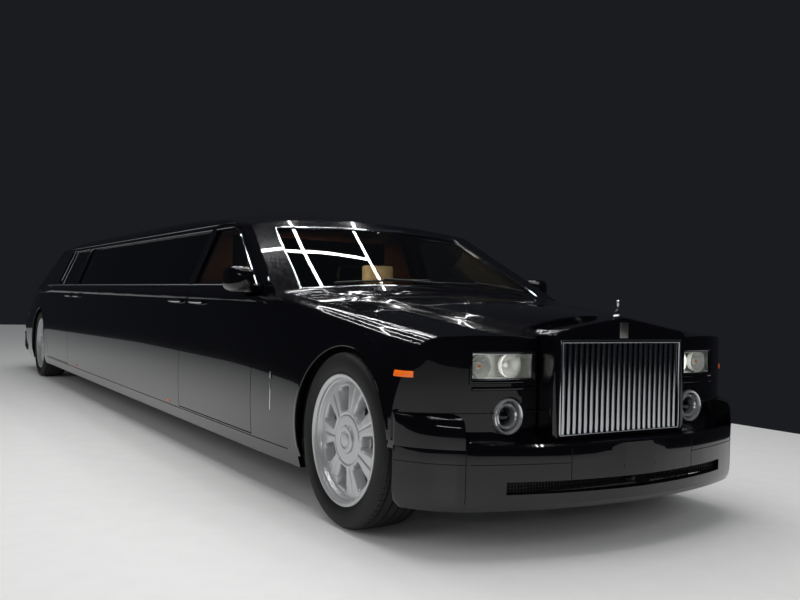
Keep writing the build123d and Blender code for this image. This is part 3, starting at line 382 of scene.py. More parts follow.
class Form:
    """A shape in the making, in the row frame."""

    def __init__(self, node: str = "") -> None:
        """Starts empty, or with a merged copy of a CAD node, whose faces already point outwards.

        Args:
            node: the node's name, or nothing.
        """
        self.mesh = bmesh.new()
        self.packed = bool(node)
        if node:
            self.mesh.from_mesh(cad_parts[node].data)
            bmesh.ops.remove_doubles(self.mesh, verts=self.mesh.verts, dist=2e-5)

    def weave(self, rings: Iterable[Sequence[Point]], closed: bool = False, capped: bool = False) -> "Form":
        """Joins rings of points with faces.

        Args:
            rings: rings with the same number of points.
            closed: whether the last ring joins the first.
            capped: whether both ends get a face.

        Returns:
            The form.
        """
        rows = [[self.mesh.verts.new(p) for p in ring] for ring in rings]
        count = len(rows[0])
        for low, high in list(zip(rows, rows[1:])) + ([(rows[-1], rows[0])] if closed else []):
            for i in range(count):
                j = (i + 1) % count
                self.mesh.faces.new((low[i], low[j], high[j], high[i]))
        if capped:
            self.mesh.faces.new(rows[0][::-1])
            self.mesh.faces.new(rows[-1])
        return self

    def box(self, low: Point, high: Point, tilt: Matrix | None = None) -> "Form":
        """Adds a box between two corners, turned about its centre.

        Args:
            low: lowest corner.
            high: highest corner.
            tilt: the turn.

        Returns:
            The form.
        """
        middle, half = (Vector(low) + Vector(high)) / 2, (Vector(high) - Vector(low)) / 2
        turn = tilt or Matrix.Identity(3)
        return self.weave([[middle + turn @ Vector((half.x * a, half.y * b, half.z * c))
                            for a, b in ((-1, -1), (1, -1), (1, 1), (-1, 1))] for c in (-1, 1)], capped=True)

    def lathe(self, profile: Sequence[Flat], centre: Point, axis: Point, steps: int = 64,
              closed: bool = True) -> "Form":
        """Turns a profile about an axis.

        Args:
            profile: (radius, distance along the axis) points.
            centre: where the axis starts.
            axis: its direction.
            steps: how many faces go round.
            closed: whether the profile's last point joins its first.

        Returns:
            The form.
        """
        along = Vector(axis).normalized()
        across = along.orthogonal().normalized()
        other = along.cross(across)
        spread = [across * math.cos(a) + other * math.sin(a) for a in around(steps)]
        return self.weave([[Vector(centre) + along * depth + out * radius for out in spread]
                           for radius, depth in profile], closed, not closed)

    def strip(self, points: Sequence[Vector], normals: Sequence[Vector], width: float, height: float,
              closed: bool = False, sink: float = 0.003) -> "Form":
        """Lays a low crowned strip along a path on a surface.

        Args:
            points: the path on the surface.
            normals: the surface's direction at each point.
            width: width of the strip.
            height: how far it stands off the surface.
            closed: whether the path is a loop.
            sink: how far its foot goes under the surface.

        Returns:
            The form.
        """
        section = ((-0.5, -sink), (-0.5, height * 0.45), (-0.3, height * 0.92), (0, height),
                   (0.3, height * 0.92), (0.5, height * 0.45), (0.5, -sink))
        count = len(points)
        rings = []
        for i, (point, normal) in enumerate(zip(points, normals)):
            behind = point - (points[i - 1] if i or closed else point)
            ahead = (points[(i + 1) % count] if i < count - 1 or closed else point) - point
            across = normal.cross((ahead.normalized() + behind.normalized()).normalized()).normalized()
            lead = ahead if ahead.length > 1e-9 else behind
            turn = max(abs(across.dot(normal.cross(lead.normalized()).normalized())), 0.35)
            rings.append([point + across * (a * width / turn) + normal * b for a, b in section])
        return self.weave(rings, closed, not closed)

    def glass_strip(self, places: Sequence[Flat], side: int, width: float, height: float,
                    closed: bool = False) -> "Form":
        """Lays a strip through (X, Z) places on the leaning plane of the side glass.

        Args:
            places: the path.
            side: -1 on the right, 1 on the left.
            width: width of the strip.
            height: how far it stands off.
            closed: whether the path is a loop.

        Returns:
            The form.
        """
        points = [Vector((x, side * (BELT_Y - (z - BELT_Z) * SIDE_LEAN), z)) for x, z in places]
        return self.strip(points, [side_normal(side)] * len(points), width, height, closed)

    def outward(self) -> "Form":
        """Merges doubles and turns every face outwards.

        Returns:
            The form.
        """
        bmesh.ops.remove_doubles(self.mesh, verts=self.mesh.verts, dist=1e-6)
        bmesh.ops.recalc_face_normals(self.mesh, faces=self.mesh.faces)
        return self

    def flatten(self, degrees: float) -> "Form":
        """Dissolves edges between faces that lie nearly in one plane.

        Args:
            degrees: the most that two faces may differ.

        Returns:
            The form.
        """
        bmesh.ops.dissolve_limit(self.mesh, angle_limit=math.radians(degrees), verts=self.mesh.verts,
                                 edges=self.mesh.edges)
        return self

    def release(self, name: str) -> bpy.types.Mesh:
        """Hands the shape over as a mesh and frees it.

        Args:
            name: the mesh's name.

        Returns:
            The mesh, in the row frame.
        """
        made = bpy.data.meshes.new(name)
        self.mesh.to_mesh(made)
        self.mesh.free()
        return made

    def place(self, piece: Piece) -> bpy.types.Object:
        """Turns the shape into a finished object.

        Args:
            piece: its name, finish and body.

        Returns:
            The object.
        """
        if not self.packed:
            self.outward()
        return piece.adopt(self.release(piece.name))


@dataclass(frozen=True)
class PlanArc:
    """Arc in plan through three (X, Y) points."""

    points: tuple[Flat, Flat, Flat]

    def x_at(self, y: float) -> float:
        """Front edge of the arc.

        Args:
            y: distance from the middle of the car.

        Returns:
            X there.
        """
        (ax, ay), (bx, by), (cx, cy) = self.points
        double = 2 * (ax * (by - cy) + bx * (cy - ay) + cx * (ay - by))
        sa, sb, sc = ax * ax + ay * ay, bx * bx + by * by, cx * cx + cy * cy
        mid_x = (sa * (by - cy) + sb * (cy - ay) + sc * (ay - by)) / double
        mid_y = (sa * (cx - bx) + sb * (ax - cx) + sc * (bx - ax)) / double
        radius = math.hypot(ax - mid_x, ay - mid_y)
        return mid_x + math.sqrt(max(radius ** 2 - (abs(y) - mid_y) ** 2, 0.0))


@dataclass(frozen=True)
class NosePlan:
    """Plan of the nose: packed bumper lip, the real car's more swept lip, and the wings behind it."""

    packed_front: PlanArc = PlanArc(((4.756, 0.760), (4.804, 0.400), (4.822, 0.0)))
    packed_corner: PlanArc = PlanArc(((4.756, 0.760), (4.682, 0.870), (4.518, 0.962)))
    swept_front: PlanArc = PlanArc(((4.672, 0.760), (4.780, 0.400), (4.822, 0.0)))
    swept_corner: PlanArc = PlanArc(((4.672, 0.760), (4.590, 0.870), (4.450, 0.962)))
    wing: PlanArc = PlanArc(((4.617, 0.420), (4.555, 0.800), (4.402, 1.000)))

    def wing_x(self, y: float) -> float:
        """Front of the wings at a distance from the middle."""
        return WING_FRONT if abs(y) < 0.42 else self.wing.x_at(min(abs(y), 0.99))

    def bend(self, place: Vector) -> Vector:
        """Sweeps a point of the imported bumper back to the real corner.

        Args:
            place: a point of the bumper.

        Returns:
            Where it goes.
        """
        y = min(abs(place.y), 0.962)
        packed, swept = ((self.packed_front, self.swept_front) if y <= 0.76 else
                         (self.packed_corner, self.swept_corner))
        lip, goal = packed.x_at(y), swept.x_at(y)
        wing = min(self.wing_x(y), lip - 0.06)
        if place.x <= wing or place.z > 0.50:
            return place
        share = min((place.x - wing) / (lip - wing), 1.0)
        return Vector((place.x + (goal - lip) * share, place.y, place.z))

    def band(self, half: float, x: float, z: float, depths: Flat, heights: Flat) -> list[list[Point]]:
        """Rings of a thin band across the nose that follows the swept lip.

        Args:
            half: how far it reaches to each side.
            x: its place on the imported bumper.
            z: its height there.
            depths: its back and front, from x.
            heights: its foot and top.

        Returns:
            The rings, from right to left.
        """
        rings = []
        for y in run(-half, half, 24):
            middle = self.bend(Vector((x, y, z))).x
            back, front = (middle + d for d in depths)
            rings.append([(back, y, heights[0]), (front, y, heights[0]), (front, y, heights[1]),
                          (back, y, heights[1])])
        return rings


NOSE_PLAN = NosePlan()


class Skin:
    """The outside of the dressed bodywork, for laying trim on."""

    def __init__(self, meshes: Iterable[bpy.types.Mesh]) -> None:
        """Gathers faces in one tree.

        Args:
            meshes: the meshes, in the row frame.
        """
        points: list[Vector] = []
        faces: list[list[int]] = []
        for mesh in meshes:
            first = len(points)
            points += [v.co.copy() for v in mesh.vertices]
            faces += [[first + i for i in p.vertices] for p in mesh.polygons]
        self.tree = BVHTree.FromPolygons(points, faces)

    def hit(self, origin: Point, direction: Point) -> tuple[Vector, Vector] | None:
        """First place that a ray meets.

        Args:
            origin: start of the ray, outside the car.
            direction: where it goes.

        Returns:
            The place and the surface's direction there, or None.
        """
        aim = Vector(direction).normalized()
        place, normal, _, _ = self.tree.ray_cast(Vector(origin), aim)
        return None if place is None else (place, normal if normal.dot(aim) < 0 else -normal)

    def strip(self, form: Form, rays: Iterable[Ray], width: float, height: float,
              closed: bool = False) -> Form:
        """Lays a strip where rays meet the bodywork.

        Args:
            form: where it goes.
            rays: the rays, in order along the strip.
            width: width of the strip.
            height: how far it stands off.
            closed: whether it is a loop.

        Returns:
            The form.
        """
        found = [h for h in (self.hit(*ray) for ray in rays) if h]
        return form.strip([p for p, _ in found], [n for _, n in found], width, height, closed, 0.001)

    @staticmethod
    def from_side(places: Iterable[Flat], side: int) -> list[Ray]:
        """Rays onto a side of the car through (X, Z) places."""
        return [((x, side * 1.3, z), (0, -side, 0)) for x, z in places]

    @staticmethod
    def from_end(places: Iterable[Flat], side: int, end: int) -> list[Ray]:
        """Rays onto the nose (end 1) or the tail (end -1) through (Y, Z) places."""
        return [((end * 5.2, side * y, z), (-end, 0, 0)) for y, z in places]


class Repeater:
    """Geometry Nodes tree that sets an item along a line or round an axis."""

    def __init__(self) -> None:
        """Builds the tree with its named inputs."""
        tree = bpy.data.node_groups.new("repeated_item", "GeometryNodeTree")
        ports = tree.interface
        ports.new_socket("Geometry", in_out="INPUT", socket_type="NodeSocketGeometry")
        self.sockets = {name: ports.new_socket(name, in_out="INPUT",
                                               socket_type=f"NodeSocket{kind}").identifier
                        for name, kind in (("Count", "Int"), ("Step", "Vector"), ("Turn", "Vector"),
                                           ("Material", "Material"))}
        ports.new_socket("Geometry", in_out="OUTPUT", socket_type="NodeSocketGeometry")
        source = tree.nodes.new("NodeGroupInput").outputs
        line = add_node(tree, "GeometryNodeMeshLine", {"mode": "OFFSET"},
                        {"Count": source["Count"], "Offset": source["Step"]})
        index = add_node(tree, "GeometryNodeInputIndex")
        angle = add_node(tree, "ShaderNodeVectorMath", {"operation": "SCALE"},
                         {0: source["Turn"], "Scale": index.outputs[0]})
        spread = add_node(tree, "GeometryNodeInstanceOnPoints", None,
                          {"Points": line.outputs[0], "Instance": source["Geometry"],
                           "Rotation": angle.outputs[0]})
        whole = add_node(tree, "GeometryNodeRealizeInstances", None, {0: spread.outputs[0]})
        painted = add_node(tree, "GeometryNodeSetMaterial", None,
                           {"Geometry": whole.outputs[0], "Material": source["Material"]})
        add_node(tree, "NodeGroupOutput", None, {0: painted.outputs[0]})
        self.tree = tree

    def spread(self, item: Form, count: int, finish: Finish, pivot: Point, step: Point = (0, 0, 0),
               turn: Point = (0, 0, 0)) -> bpy.types.Mesh:
        """Repeats an item.

        Args:
            item: the item, about the pivot; it is freed.
            count: how many there are.
            finish: what they are made of.
            pivot: where the first one's origin stands in the row frame.
            step: distance from one to the next.
            turn: turn from one to the next, in radians.

        Returns:
            A plain mesh in the row frame.
        """
        holder = hold("item", item.outward().release("item"))
        modifier = holder.modifiers.new("repeat", "NODES")
        modifier.node_group = self.tree
        for name, value in (("Count", count), ("Step", step), ("Turn", turn), ("Material", finish.build())):
            modifier[self.sockets[name]] = value
        made = solid(holder)
        holder.modifiers.clear()
        bpy.data.objects.remove(holder)
        made.transform(Matrix.Translation(pivot))
        return made


class SideShading:
    """Smooth shading of the body sides, eased over the small facets of every panel at once."""

    panels: ClassVar[tuple[str, ...]] = ("front_wings", "side_panels", "rear_quarters", "front_right_door",
                                         "front_left_door", "rear_right_door", "rear_left_door")
    side_y: ClassVar[float] = 0.91
    low_z: ClassVar[float] = 0.17
    reach_x: ClassVar[float] = 0.26
    reach_z: ClassVar[float] = 0.034

    def __init__(self) -> None:
        """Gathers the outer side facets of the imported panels."""
        rows = []
        for name in self.panels:
            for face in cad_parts[name].data.polygons:
                middle, normal = face.center, face.normal
                side = math.copysign(1, middle.y)
                outside = normal.y * side > 0.93 and abs(middle.y) > self.side_y
                if outside and self.low_z < middle.z < 0.96:
                    rows.append((middle.x, middle.z, normal.x, normal.y * side, normal.z, face.area))
        table = np.array(rows)
        self.places, self.normals, self.areas = table[:, :2], table[:, 2:5], table[:, 5]

    def ease(self, places: np.ndarray, normals: np.ndarray) -> np.ndarray:
        """Replaces shading directions on the body side by a local plane fitted through the facets near by.

        Args:
            places: points, one a row.
            normals: their present directions.

        Returns:
            The eased directions.
        """
        side = np.sign(places[:, 1])
        chosen = np.flatnonzero((normals[:, 1] * side > 0.94) & (np.abs(places[:, 1]) > self.side_y)
                                & (places[:, 2] > self.low_z) & (places[:, 2] < 0.955))
        keys, back = np.unique(np.round(places[chosen][:, (0, 2)], 4), axis=0, return_inverse=True)
        fits = np.zeros((len(keys), 3))
        for first in range(0, len(keys), 400):
            part = keys[first:first + 400]
            dx = (self.places[None, :, 0] - part[:, None, 0]) / self.reach_x
            dz = (self.places[None, :, 1] - part[:, None, 1]) / self.reach_z
            weight = self.areas * np.exp(-0.5 * (dx * dx + dz * dz))
            terms = np.stack([np.ones_like(dx), dx, dz], -1)
            left = np.einsum("qf,qfi,qfj->qij", weight, terms, terms)
            left += np.eye(3) * (1e-3 * left[:, :1, :1] + 1e-12)
            right = np.einsum("qf,qfi,fk->qik", weight, terms, self.normals)
            fits[first:first + 400] = np.linalg.solve(left, right)[:, 0]
        fitted = fits[np.ravel(back)]
        fitted[:, 1] *= side[chosen]
        result = normals.copy()
        result[chosen] = fitted / (np.linalg.norm(fitted, axis=1, keepdims=True) + 1e-12)
        return result

    def shade(self, mesh: bpy.types.Mesh, rounds: int = 20, crease: float = 24) -> None:
        """Eases the shading along a panel, so that joints between lofts don't show in the gloss.

        Args:
            mesh: a mesh cut across X at close steps.
            rounds: how many steps the shading spreads.
            crease: edges sharper than this angle in degrees stay sharp.
        """
        normals, areas = read(mesh.polygons, "normal", 3), read(mesh.polygons, "area")
        firsts, totals = (read(mesh.polygons, name, kind=int) for name in ("loop_start", "loop_total"))
        edges, corners = (read(mesh.loops, name, kind=int) for name in ("edge_index", "vertex_index"))
        places, ends = read(mesh.vertices, "co", 3), read(mesh.edges, "vertices", 2, int)
        owner = np.repeat(np.arange(len(areas)), totals)

        order = np.argsort(edges, kind="stable")
        same = edges[order][:-1] == edges[order][1:]
        first, second = owner[order][:-1][same], owner[order][1:][same]
        edge_run = places[ends[:, 1]] - places[ends[:, 0]]
        length = np.linalg.norm(edge_run, axis=1) + 1e-12
        across = (np.abs(edge_run[:, 0]) / length < 0.08)[edges[order][:-1][same]]
        alike = (normals[first] * normals[second]).sum(1)
        joined = (across & (alike > 0.93)) | (alike > 0.9995)
        first, second = first[joined], second[joined]
        weight = np.sqrt(areas)[:, None]
        soft = normals.copy()
        for _ in range(rounds):
            total = soft * weight
            np.add.at(total, first, soft[second] * weight[second])
            np.add.at(total, second, soft[first] * weight[first])
            soft = total / (np.linalg.norm(total, axis=1, keepdims=True) + 1e-12)

        spot = np.arange(len(corners)) - firsts[owner]
        here = places[corners]
        ahead, behind = (places[corners[firsts[owner] + (spot + n) % totals[owner]]] - here for n in (1, -1))
        lengths = np.linalg.norm(ahead, axis=1) * np.linalg.norm(behind, axis=1)
        cosine = (ahead * behind).sum(1) / (lengths + 1e-15)
        angles = np.arccos(np.clip(cosine, -1, 1))

        order = np.argsort(corners, kind="stable")
        ranked = corners[order]
        starts = np.searchsorted(ranked, ranked, side="left")
        sizes = np.searchsorted(ranked, ranked, side="right") - starts
        repeats = np.repeat(np.arange(len(order)), sizes)
        offsets = np.arange(len(repeats)) - np.repeat(np.cumsum(sizes) - sizes, sizes)
        other_corner = order[np.repeat(starts, sizes) + offsets]
        theirs = owner[other_corner]
        near = (normals[owner[order][repeats]] * normals[theirs]).sum(1) > math.cos(math.radians(crease))
        blended = np.zeros((len(order), 3))
        np.add.at(blended, repeats[near], soft[theirs[near]] * angles[other_corner[near]][:, None])
        final = np.empty_like(blended)
        final[order] = blended / (np.linalg.norm(blended, axis=1, keepdims=True) + 1e-12)
        mesh.normals_split_custom_set(self.ease(here, final).tolist())


class Lining(Enum):
    """Finishes of a panel's faces, by their number on the panel."""

    PAINTED = 0
    UNDERSEALED = 1
    HIDE = 2
    WOOL = 3


@dataclass
class Bodywork:
    """Painted panels: each CAD panel cut fine along the car, shaded smoothly and finished inside and out."""

    # Steps along X, Y and Z
    slice_steps: Point = (0.12, 0.080, 0.075)
    # Wheel housings: reach round the axle, and distance of their inner and outer walls from the middle
    arch_reach: float = 0.47
    arch_inner: float = 0.62
    arch_outer: float = 0.962
    underside_z: float = 0.265
    meshes: list[bpy.types.Mesh] = field(default_factory=list)
    end_panels: tuple[str, ...] = ("front_bumper", "rear_bumper", "boot_lid", "rear_quarters", "front_wings")
    fixed: tuple[str, ...] = ("sills", "front_bumper", "rear_bumper", "front_wings", "roof", "side_panels",
                              "rear_quarters")
    moving: tuple[str, ...] = ("bonnet", "boot_lid", "front_right_door", "front_left_door", "rear_right_door",
                               "rear_left_door")

    def in_cabin(self, place: Vector) -> bool:
        """Whether a place lies in the cabin's air.

        Args:
            place: a point just off a face.

        Returns:
            True inside the trimmed cabin.
        """
        if not CABIN_BACK - 0.5 < place.x < CABIN_FRONT + 0.03 or place.z < 0.29:
            return False
        if place.z < BELT_Z - 0.05:
            return abs(place.y) < CABIN_Y + 0.006
        return abs(place.y) < BELT_Y - (place.z - BELT_Z) * SIDE_LEAN - 0.035 and place.z < 1.60

    def lining(self, node: str, face: bmesh.types.BMFace) -> Lining:
        """Chooses the finish of a face.

        Args:
            node: the panel's name.
            face: one of its faces.

        Returns:
            Its finish.
        """
        middle, normal, out = face.calc_center_median(), face.normal, abs(face.calc_center_median().y)
        dx, dz = middle.x - (FRONT_AXLE if middle.x > 0 else REAR_AXLE), middle.z - AXLE_Z
        inwards = dx * normal.x + dz * normal.z < 0
        in_arch = math.hypot(dx, dz) < self.arch_reach and self.arch_inner < out < self.arch_outer
        if in_arch and (inwards or abs(normal.y) > 0.9):
            return Lining.UNDERSEALED
        if middle.z < self.underside_z and normal.z < -0.6:
            return Lining.UNDERSEALED
        if node in ("roof", "side_panels", "rear_quarters") or node.endswith("door"):
            if self.in_cabin(middle + normal * 0.012):
                return Lining.WOOL if node == "roof" or middle.z > BELT_Z + 0.02 else Lining.HIDE
        if node in ("bonnet", "boot_lid") and normal.z < -0.2:
            return Lining.UNDERSEALED
        if node in ("rear_quarters", "front_wings", "front_bumper", "rear_bumper"):
            if 0.3 < out < 0.965 and -normal.y * math.copysign(1, middle.y) > 0.6:
                return Lining.UNDERSEALED
        return Lining.PAINTED

    def is_loose(self, node: str, middle: Vector) -> bool:
        """Whether a face belongs to a handle or a mirror, which have pieces of their own.

        Args:
            node: the panel's name.
            middle: the face's centre.

        Returns:
            True where the face is left out.
        """
        if "door" in node and middle.x > 2.85 and abs(middle.y) > 0.935 and 0.99 < middle.z < 1.11:
            return True
        return (("door" in node or node == "side_panels") and abs(middle.y) > 0.9695
                and abs(middle.z - HANDLE_Z) < 0.012)

    def cut(self, form: Form, node: str) -> None:
        """Cuts a panel across at close steps.

        Args:
            form: the panel's shape.
            node: its name.
        """
        low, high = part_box(node)
        shape = form.mesh
        for axis, step in enumerate(self.slice_steps):
            if axis and node not in self.end_panels or axis == 1 and "bumper" not in node:
                continue
            at = math.ceil(low[axis] / step) * step
            while at < high[axis] - 0.01:
                bmesh.ops.bisect_plane(shape, geom=shape.verts[:] + shape.edges[:] + shape.faces[:],
                                       dist=1e-6, plane_co=[at * (k == axis) for k in range(3)],
                                       plane_no=[float(k == axis) for k in range(3)])
                at += step
        shape.faces.ensure_lookup_table()
        shape.normal_update()

    def dress(self) -> None:
        """Builds every panel."""
        shading = SideShading()
        for node in self.fixed + self.moving:
            form = Form(node).flatten(0.3)
            self.cut(form, node)
            loose = [f for f in form.mesh.faces if self.is_loose(node, f.calc_center_median())]
            bmesh.ops.delete(form.mesh, geom=loose, context="FACES")
            for face in form.mesh.faces:
                face.material_index = self.lining(node, face).value
            if node == "front_bumper":
                for vert in form.mesh.verts:
                    vert.co = NOSE_PLAN.bend(vert.co)
            made = form.place(Piece(f"painted_{node}", PAINT, "body" if node in self.fixed else node, (node,),
                                    crease=180, more=(UNDERSEAL, HIDE, WOOL)))
            shading.shade(made.data)
            self.meshes.append(made.data)
        Form("nose_panel").flatten(0.5).place(Piece("painted_header", PAINT, nodes=("nose_panel",),
                                                    bevel=0.005, segments=3))


@dataclass
class Brightwork:
    """Chrome lines round the glass, along the belt and on the wings, with the handles and mirrors."""

    skin: Skin
    # Width and height of a bright line
    line: Flat = (0.011, 0.004)
    # Name, body, and the outline in (X, Z)
    windows: tuple[tuple[str, str, tuple[Flat, ...]], ...] = (
        ("front", "front_{}_door", ((2.9432, 1.061), (2.3483, 1.372), (2.2344, 1.412), (1.914, 1.412),
                                    (1.894, 1.061))),
        ("rear", "rear_{}_door", ((-2.607, 1.061), (-2.580, 1.412), (-1.720, 1.412), (-1.700, 1.061))),
        ("middle", "body", ((1.818, 1.061), (1.838, 1.412), (-1.644, 1.412), (-1.624, 1.061))))
    # Name, body, and X of its front and back
    belts: tuple[tuple[str, str, float, float], ...] = (
        ("front_door_nose", "front_{}_door", 3.02, 2.95), ("front_door_tail", "front_{}_door", 1.889, 1.870),
        ("front_pillar", "body", 1.854, 1.824), ("rear_pillar", "body", -1.630, -1.660),
        ("rear_door_nose", "rear_{}_door", -1.676, -1.694),
        ("rear_door_tail", "rear_{}_door", -2.612, -2.628), ("rear_quarter", "body", -2.642, -3.20))
    # Name, body, and X of its front
    handles: tuple[tuple[str, str, float], ...] = (
        ("front_door", "front_{}_door", 2.212), ("front_pillar", "body", 1.792),
        ("rear_pillar", "body", -1.348), ("rear_door", "rear_{}_door", -1.738))
    handle_length: float = 0.250
    handle_z: float = HANDLE_Z
    mirror_y: float = 1.031
    mirror_z: float = 1.082
    # Distance from the axle, and height over the panel
    lip_profile: tuple[Flat, ...] = ((0.478, 0.0003), (0.462, 0.0006), (0.446, 0.0008), (0.430, 0.0008),
                                     (0.416, 0.0012), (0.410, 0.0030), (0.406, 0.0030), (0.4035, 0.0010))

    def glass_lines(self, hand: str, side: int) -> None:
        """Frames round the side windows, the belt line, and the slim bar of the rear door's window.

        Args:
            hand: right or left.
            side: -1 on the right, 1 on the left.
        """
        for name, body, outline in self.windows:
            middle_x, middle_z = (sum(p[i] for p in outline) / len(outline) for i in (0, 1))
            grown = [(x + math.copysign(0.004, x - middle_x), z + math.copysign(0.005, z - middle_z))
                     for x, z in outline]
            Form().glass_strip(eased(grown, 4), side, *self.line, True).place(
                Piece(f"window_frame_{name}_{hand}", CHROME, body.format(hand)))
        for name, body, start, stop in self.belts:
            Form().glass_strip([(x, 1.054) for x in run(start, stop, 4)], side, *self.line).place(
                Piece(f"belt_{name}_{hand}", CHROME, body.format(hand)))
        bar = list(zip(run(-2.455, -2.515, 6), run(1.412, 1.061, 6)))
        Form().glass_strip(bar, side, 0.014, 0.003).place(
            Piece(f"window_divider_{hand}", CHROME, f"rear_{hand}_door"))

    def wipers(self) -> None:
        """Two wipers parked along the foot of the windscreen."""
        foot_x, foot_z, lean = SCREEN_FOOT
        up, normal = slope(lean, 1)
        for number, (start, stop) in enumerate(((-0.60, 0.02), (0.06, 0.62)), 1):
            form = Form()
            for heights, share, lift, width in (((0.055, 0.080), (0.0, 1.0), 0.005, 0.008),
                                                ((0.030, 0.069), (1.10, 0.5), 0.014, 0.012)):
                points = []
                for t, along in zip(run(*share, 12), run(*heights, 12)):
                    across = start + (stop - start) * t
                    foot = Vector((foot_x, across, foot_z)) + up * along
                    points.append(foot - normal * (glass_drop(across) - lift))
                form.strip(points, [normal] * 13, width, 0.006, sink=0.004)
            form.place(Piece(f"wiper_{number}", PLASTIC))

    def arch_lip(self, end: str, axle: float, first: float, hand: str, side: int) -> None:
        """Rolled lip round a wheel arch, which carries the panel on where its cut stands too far out.

        Args:
            end: front or rear.
            axle: X of the axle.
            first: angle in degrees at which the lip starts, up from straight ahead.
            hand: right or left.
            side: -1 on the right, 1 on the left.
        """
        rings = []
        for a in run(math.radians(first), math.radians(194), 60):
            skin, back, last = [], [], None
            for radius, lift in self.lip_profile:
                x, z = axle + radius * math.cos(a), AXLE_Z + radius * math.sin(a)
                found = self.skin.hit((x, side * 1.3, z), (0, -side, 0))
                if found and abs(found[0].y) > 0.90:
                    last, y = found, found[0].y
                elif last:
                    place, normal = last
                    y = place.y - ((x - place.x) * normal.x + (z - place.z) * normal.z) / normal.y
                else:
                    y = side * 0.97
                skin.append((x, y + side * lift, z))
                back.append((x, y - side * 0.007, z))
            rings.append(skin + back[::-1])
        Form().weave(rings, capped=True).place(Piece(f"arch_lip_{end}_{hand}", PAINT, crease=40))

    def screen_frames(self) -> None:
        """Slim bright line round the windscreen and the rear window."""
        for name, (x, z, angle), direction, low, high, low_half, high_half in (
                ("windscreen", SCREEN_FOOT, 1, 0.022, 0.80, 0.80, 0.655),
                ("rear_window", REAR_GLASS_FOOT, -1, 0.040, 0.69, 0.74, 0.60)):
            up, normal = slope(angle, direction)
            loop = eased([(-low_half, low), (-high_half, high), (high_half, high), (low_half, low)], 10)
            points = [Vector((x, across, z)) + up * along - normal * (glass_drop(across) + 0.001)
                      for across, along in loop]
            Form().strip(points, [normal] * len(points), 0.012, 0.004, True).place(
                Piece(f"{name}_frame", CHROME))

    def pull_handles(self, hand: str, side: int) -> None:
        """Chrome pull bars with rounded backs, each on two feet.

        Args:
            hand: right or left.
            side: -1 on the right, 1 on the left.
        """
        for name, body, x in self.handles:
            rings = []
            for t in run(0, 1, 14):
                swell = math.sin(math.pi * min(max(t, 0.02), 0.98)) ** 0.28
                y = 0.9765 + 0.0035 * math.sin(math.pi * t)
                rings.append([(x - self.handle_length * t, side * (y + 0.0062 * math.cos(a) * swell),
                               self.handle_z + 0.0105 * math.sin(a) * swell) for a in around(12)])
            form = Form().weave(rings, capped=True)
            for foot in (x - 0.019, x - 0.231):
                form.weave([[(foot + 0.012 * math.cos(a) * s, side * y,
                              self.handle_z + 0.008 * math.sin(a) * s)
                             for a in around(12)] for y, s in ((0.945, 1.25), (0.962, 1.0), (0.974, 0.9))],
                           capped=True)
            form.place(Piece(f"pull_handle_{name}_{hand}", CHROME, body.format(hand)))

    def mirror_ring(self, side: int, x: float, half_y: float, half_z: float,
                    slant: float = 0.0) -> list[Point]:
        """Ring of a mirror's rounded outline.

        Args:
            side: -1 on the right, 1 on the left.
            x: its place along the car.
            half_y: half its width.
            half_z: half its height.
            slant: how far its outer edge stands back.

        Returns:
            The ring.
        """
        return [(x - slant * math.cos(a), side * (self.mirror_y + half_y * power(math.cos(a), 0.6)),
                 self.mirror_z + half_z * power(math.sin(a), 0.55)) for a in around(28)]

    def mirror(self, hand: str, side: int) -> None:
        """Door mirror: a painted shell with a silvered glass at its back.

        Args:
            hand: right or left.
            side: -1 on the right, 1 on the left.
        """
        body = f"front_{hand}_door"
        shell = ((2.893, 0.90), (2.900, 0.97), (2.925, 1.0), (2.965, 0.98), (3.000, 0.90), (3.020, 0.74),
                 (3.030, 0.45), (3.032, 0.10))
        low_y, high_y = sorted((side * 0.925, side * 0.99))
        Form().weave([self.mirror_ring(side, x, 0.0675 * s, 0.070 * s, 0.018 * s) for x, s in shell],
                     capped=True).box((2.93, low_y, 1.012), (2.99, high_y, 1.040)).place(
            Piece(f"mirror_shell_{hand}", PAINT, body, bevel=0.003))
        Form().weave([self.mirror_ring(side, x, 0.056, 0.058) for x in (2.8935, 2.8895)], capped=True).place(
            Piece(f"mirror_glass_{hand}", MIRROR, body))

    def dress(self) -> None:
        """Builds every bright piece, with the wipers and the arch lips."""
        gutter = [(3.10, 1.075), (2.385, 1.4465)] + [(x, 1.4465) for x in run(2.18, -2.78, 16)]
        for hand, side in SIDES:
            self.glass_lines(hand, side)
            self.skin.strip(Form(), self.skin.from_side(gutter, side), 0.009, 0.004).place(
                Piece(f"gutter_trim_{hand}", CHROME))
            self.arch_lip("front", FRONT_AXLE, 14, hand, side)
            self.arch_lip("rear", REAR_AXLE, -14, hand, side)
            self.pull_handles(hand, side)
            self.mirror(hand, side)
            bar = Form()
            for low, high, count, width in ((0.430, 0.570, 6, 0.010), (0.585, 0.617, 3, 0.030)):
                places = [(3.322, z) for z in run(low, high, count)]
                self.skin.strip(bar, self.skin.from_side(places, side), width, 0.003)
            bar.place(Piece(f"wing_bar_{hand}", CHROME))
        self.wipers()
        self.screen_frames()


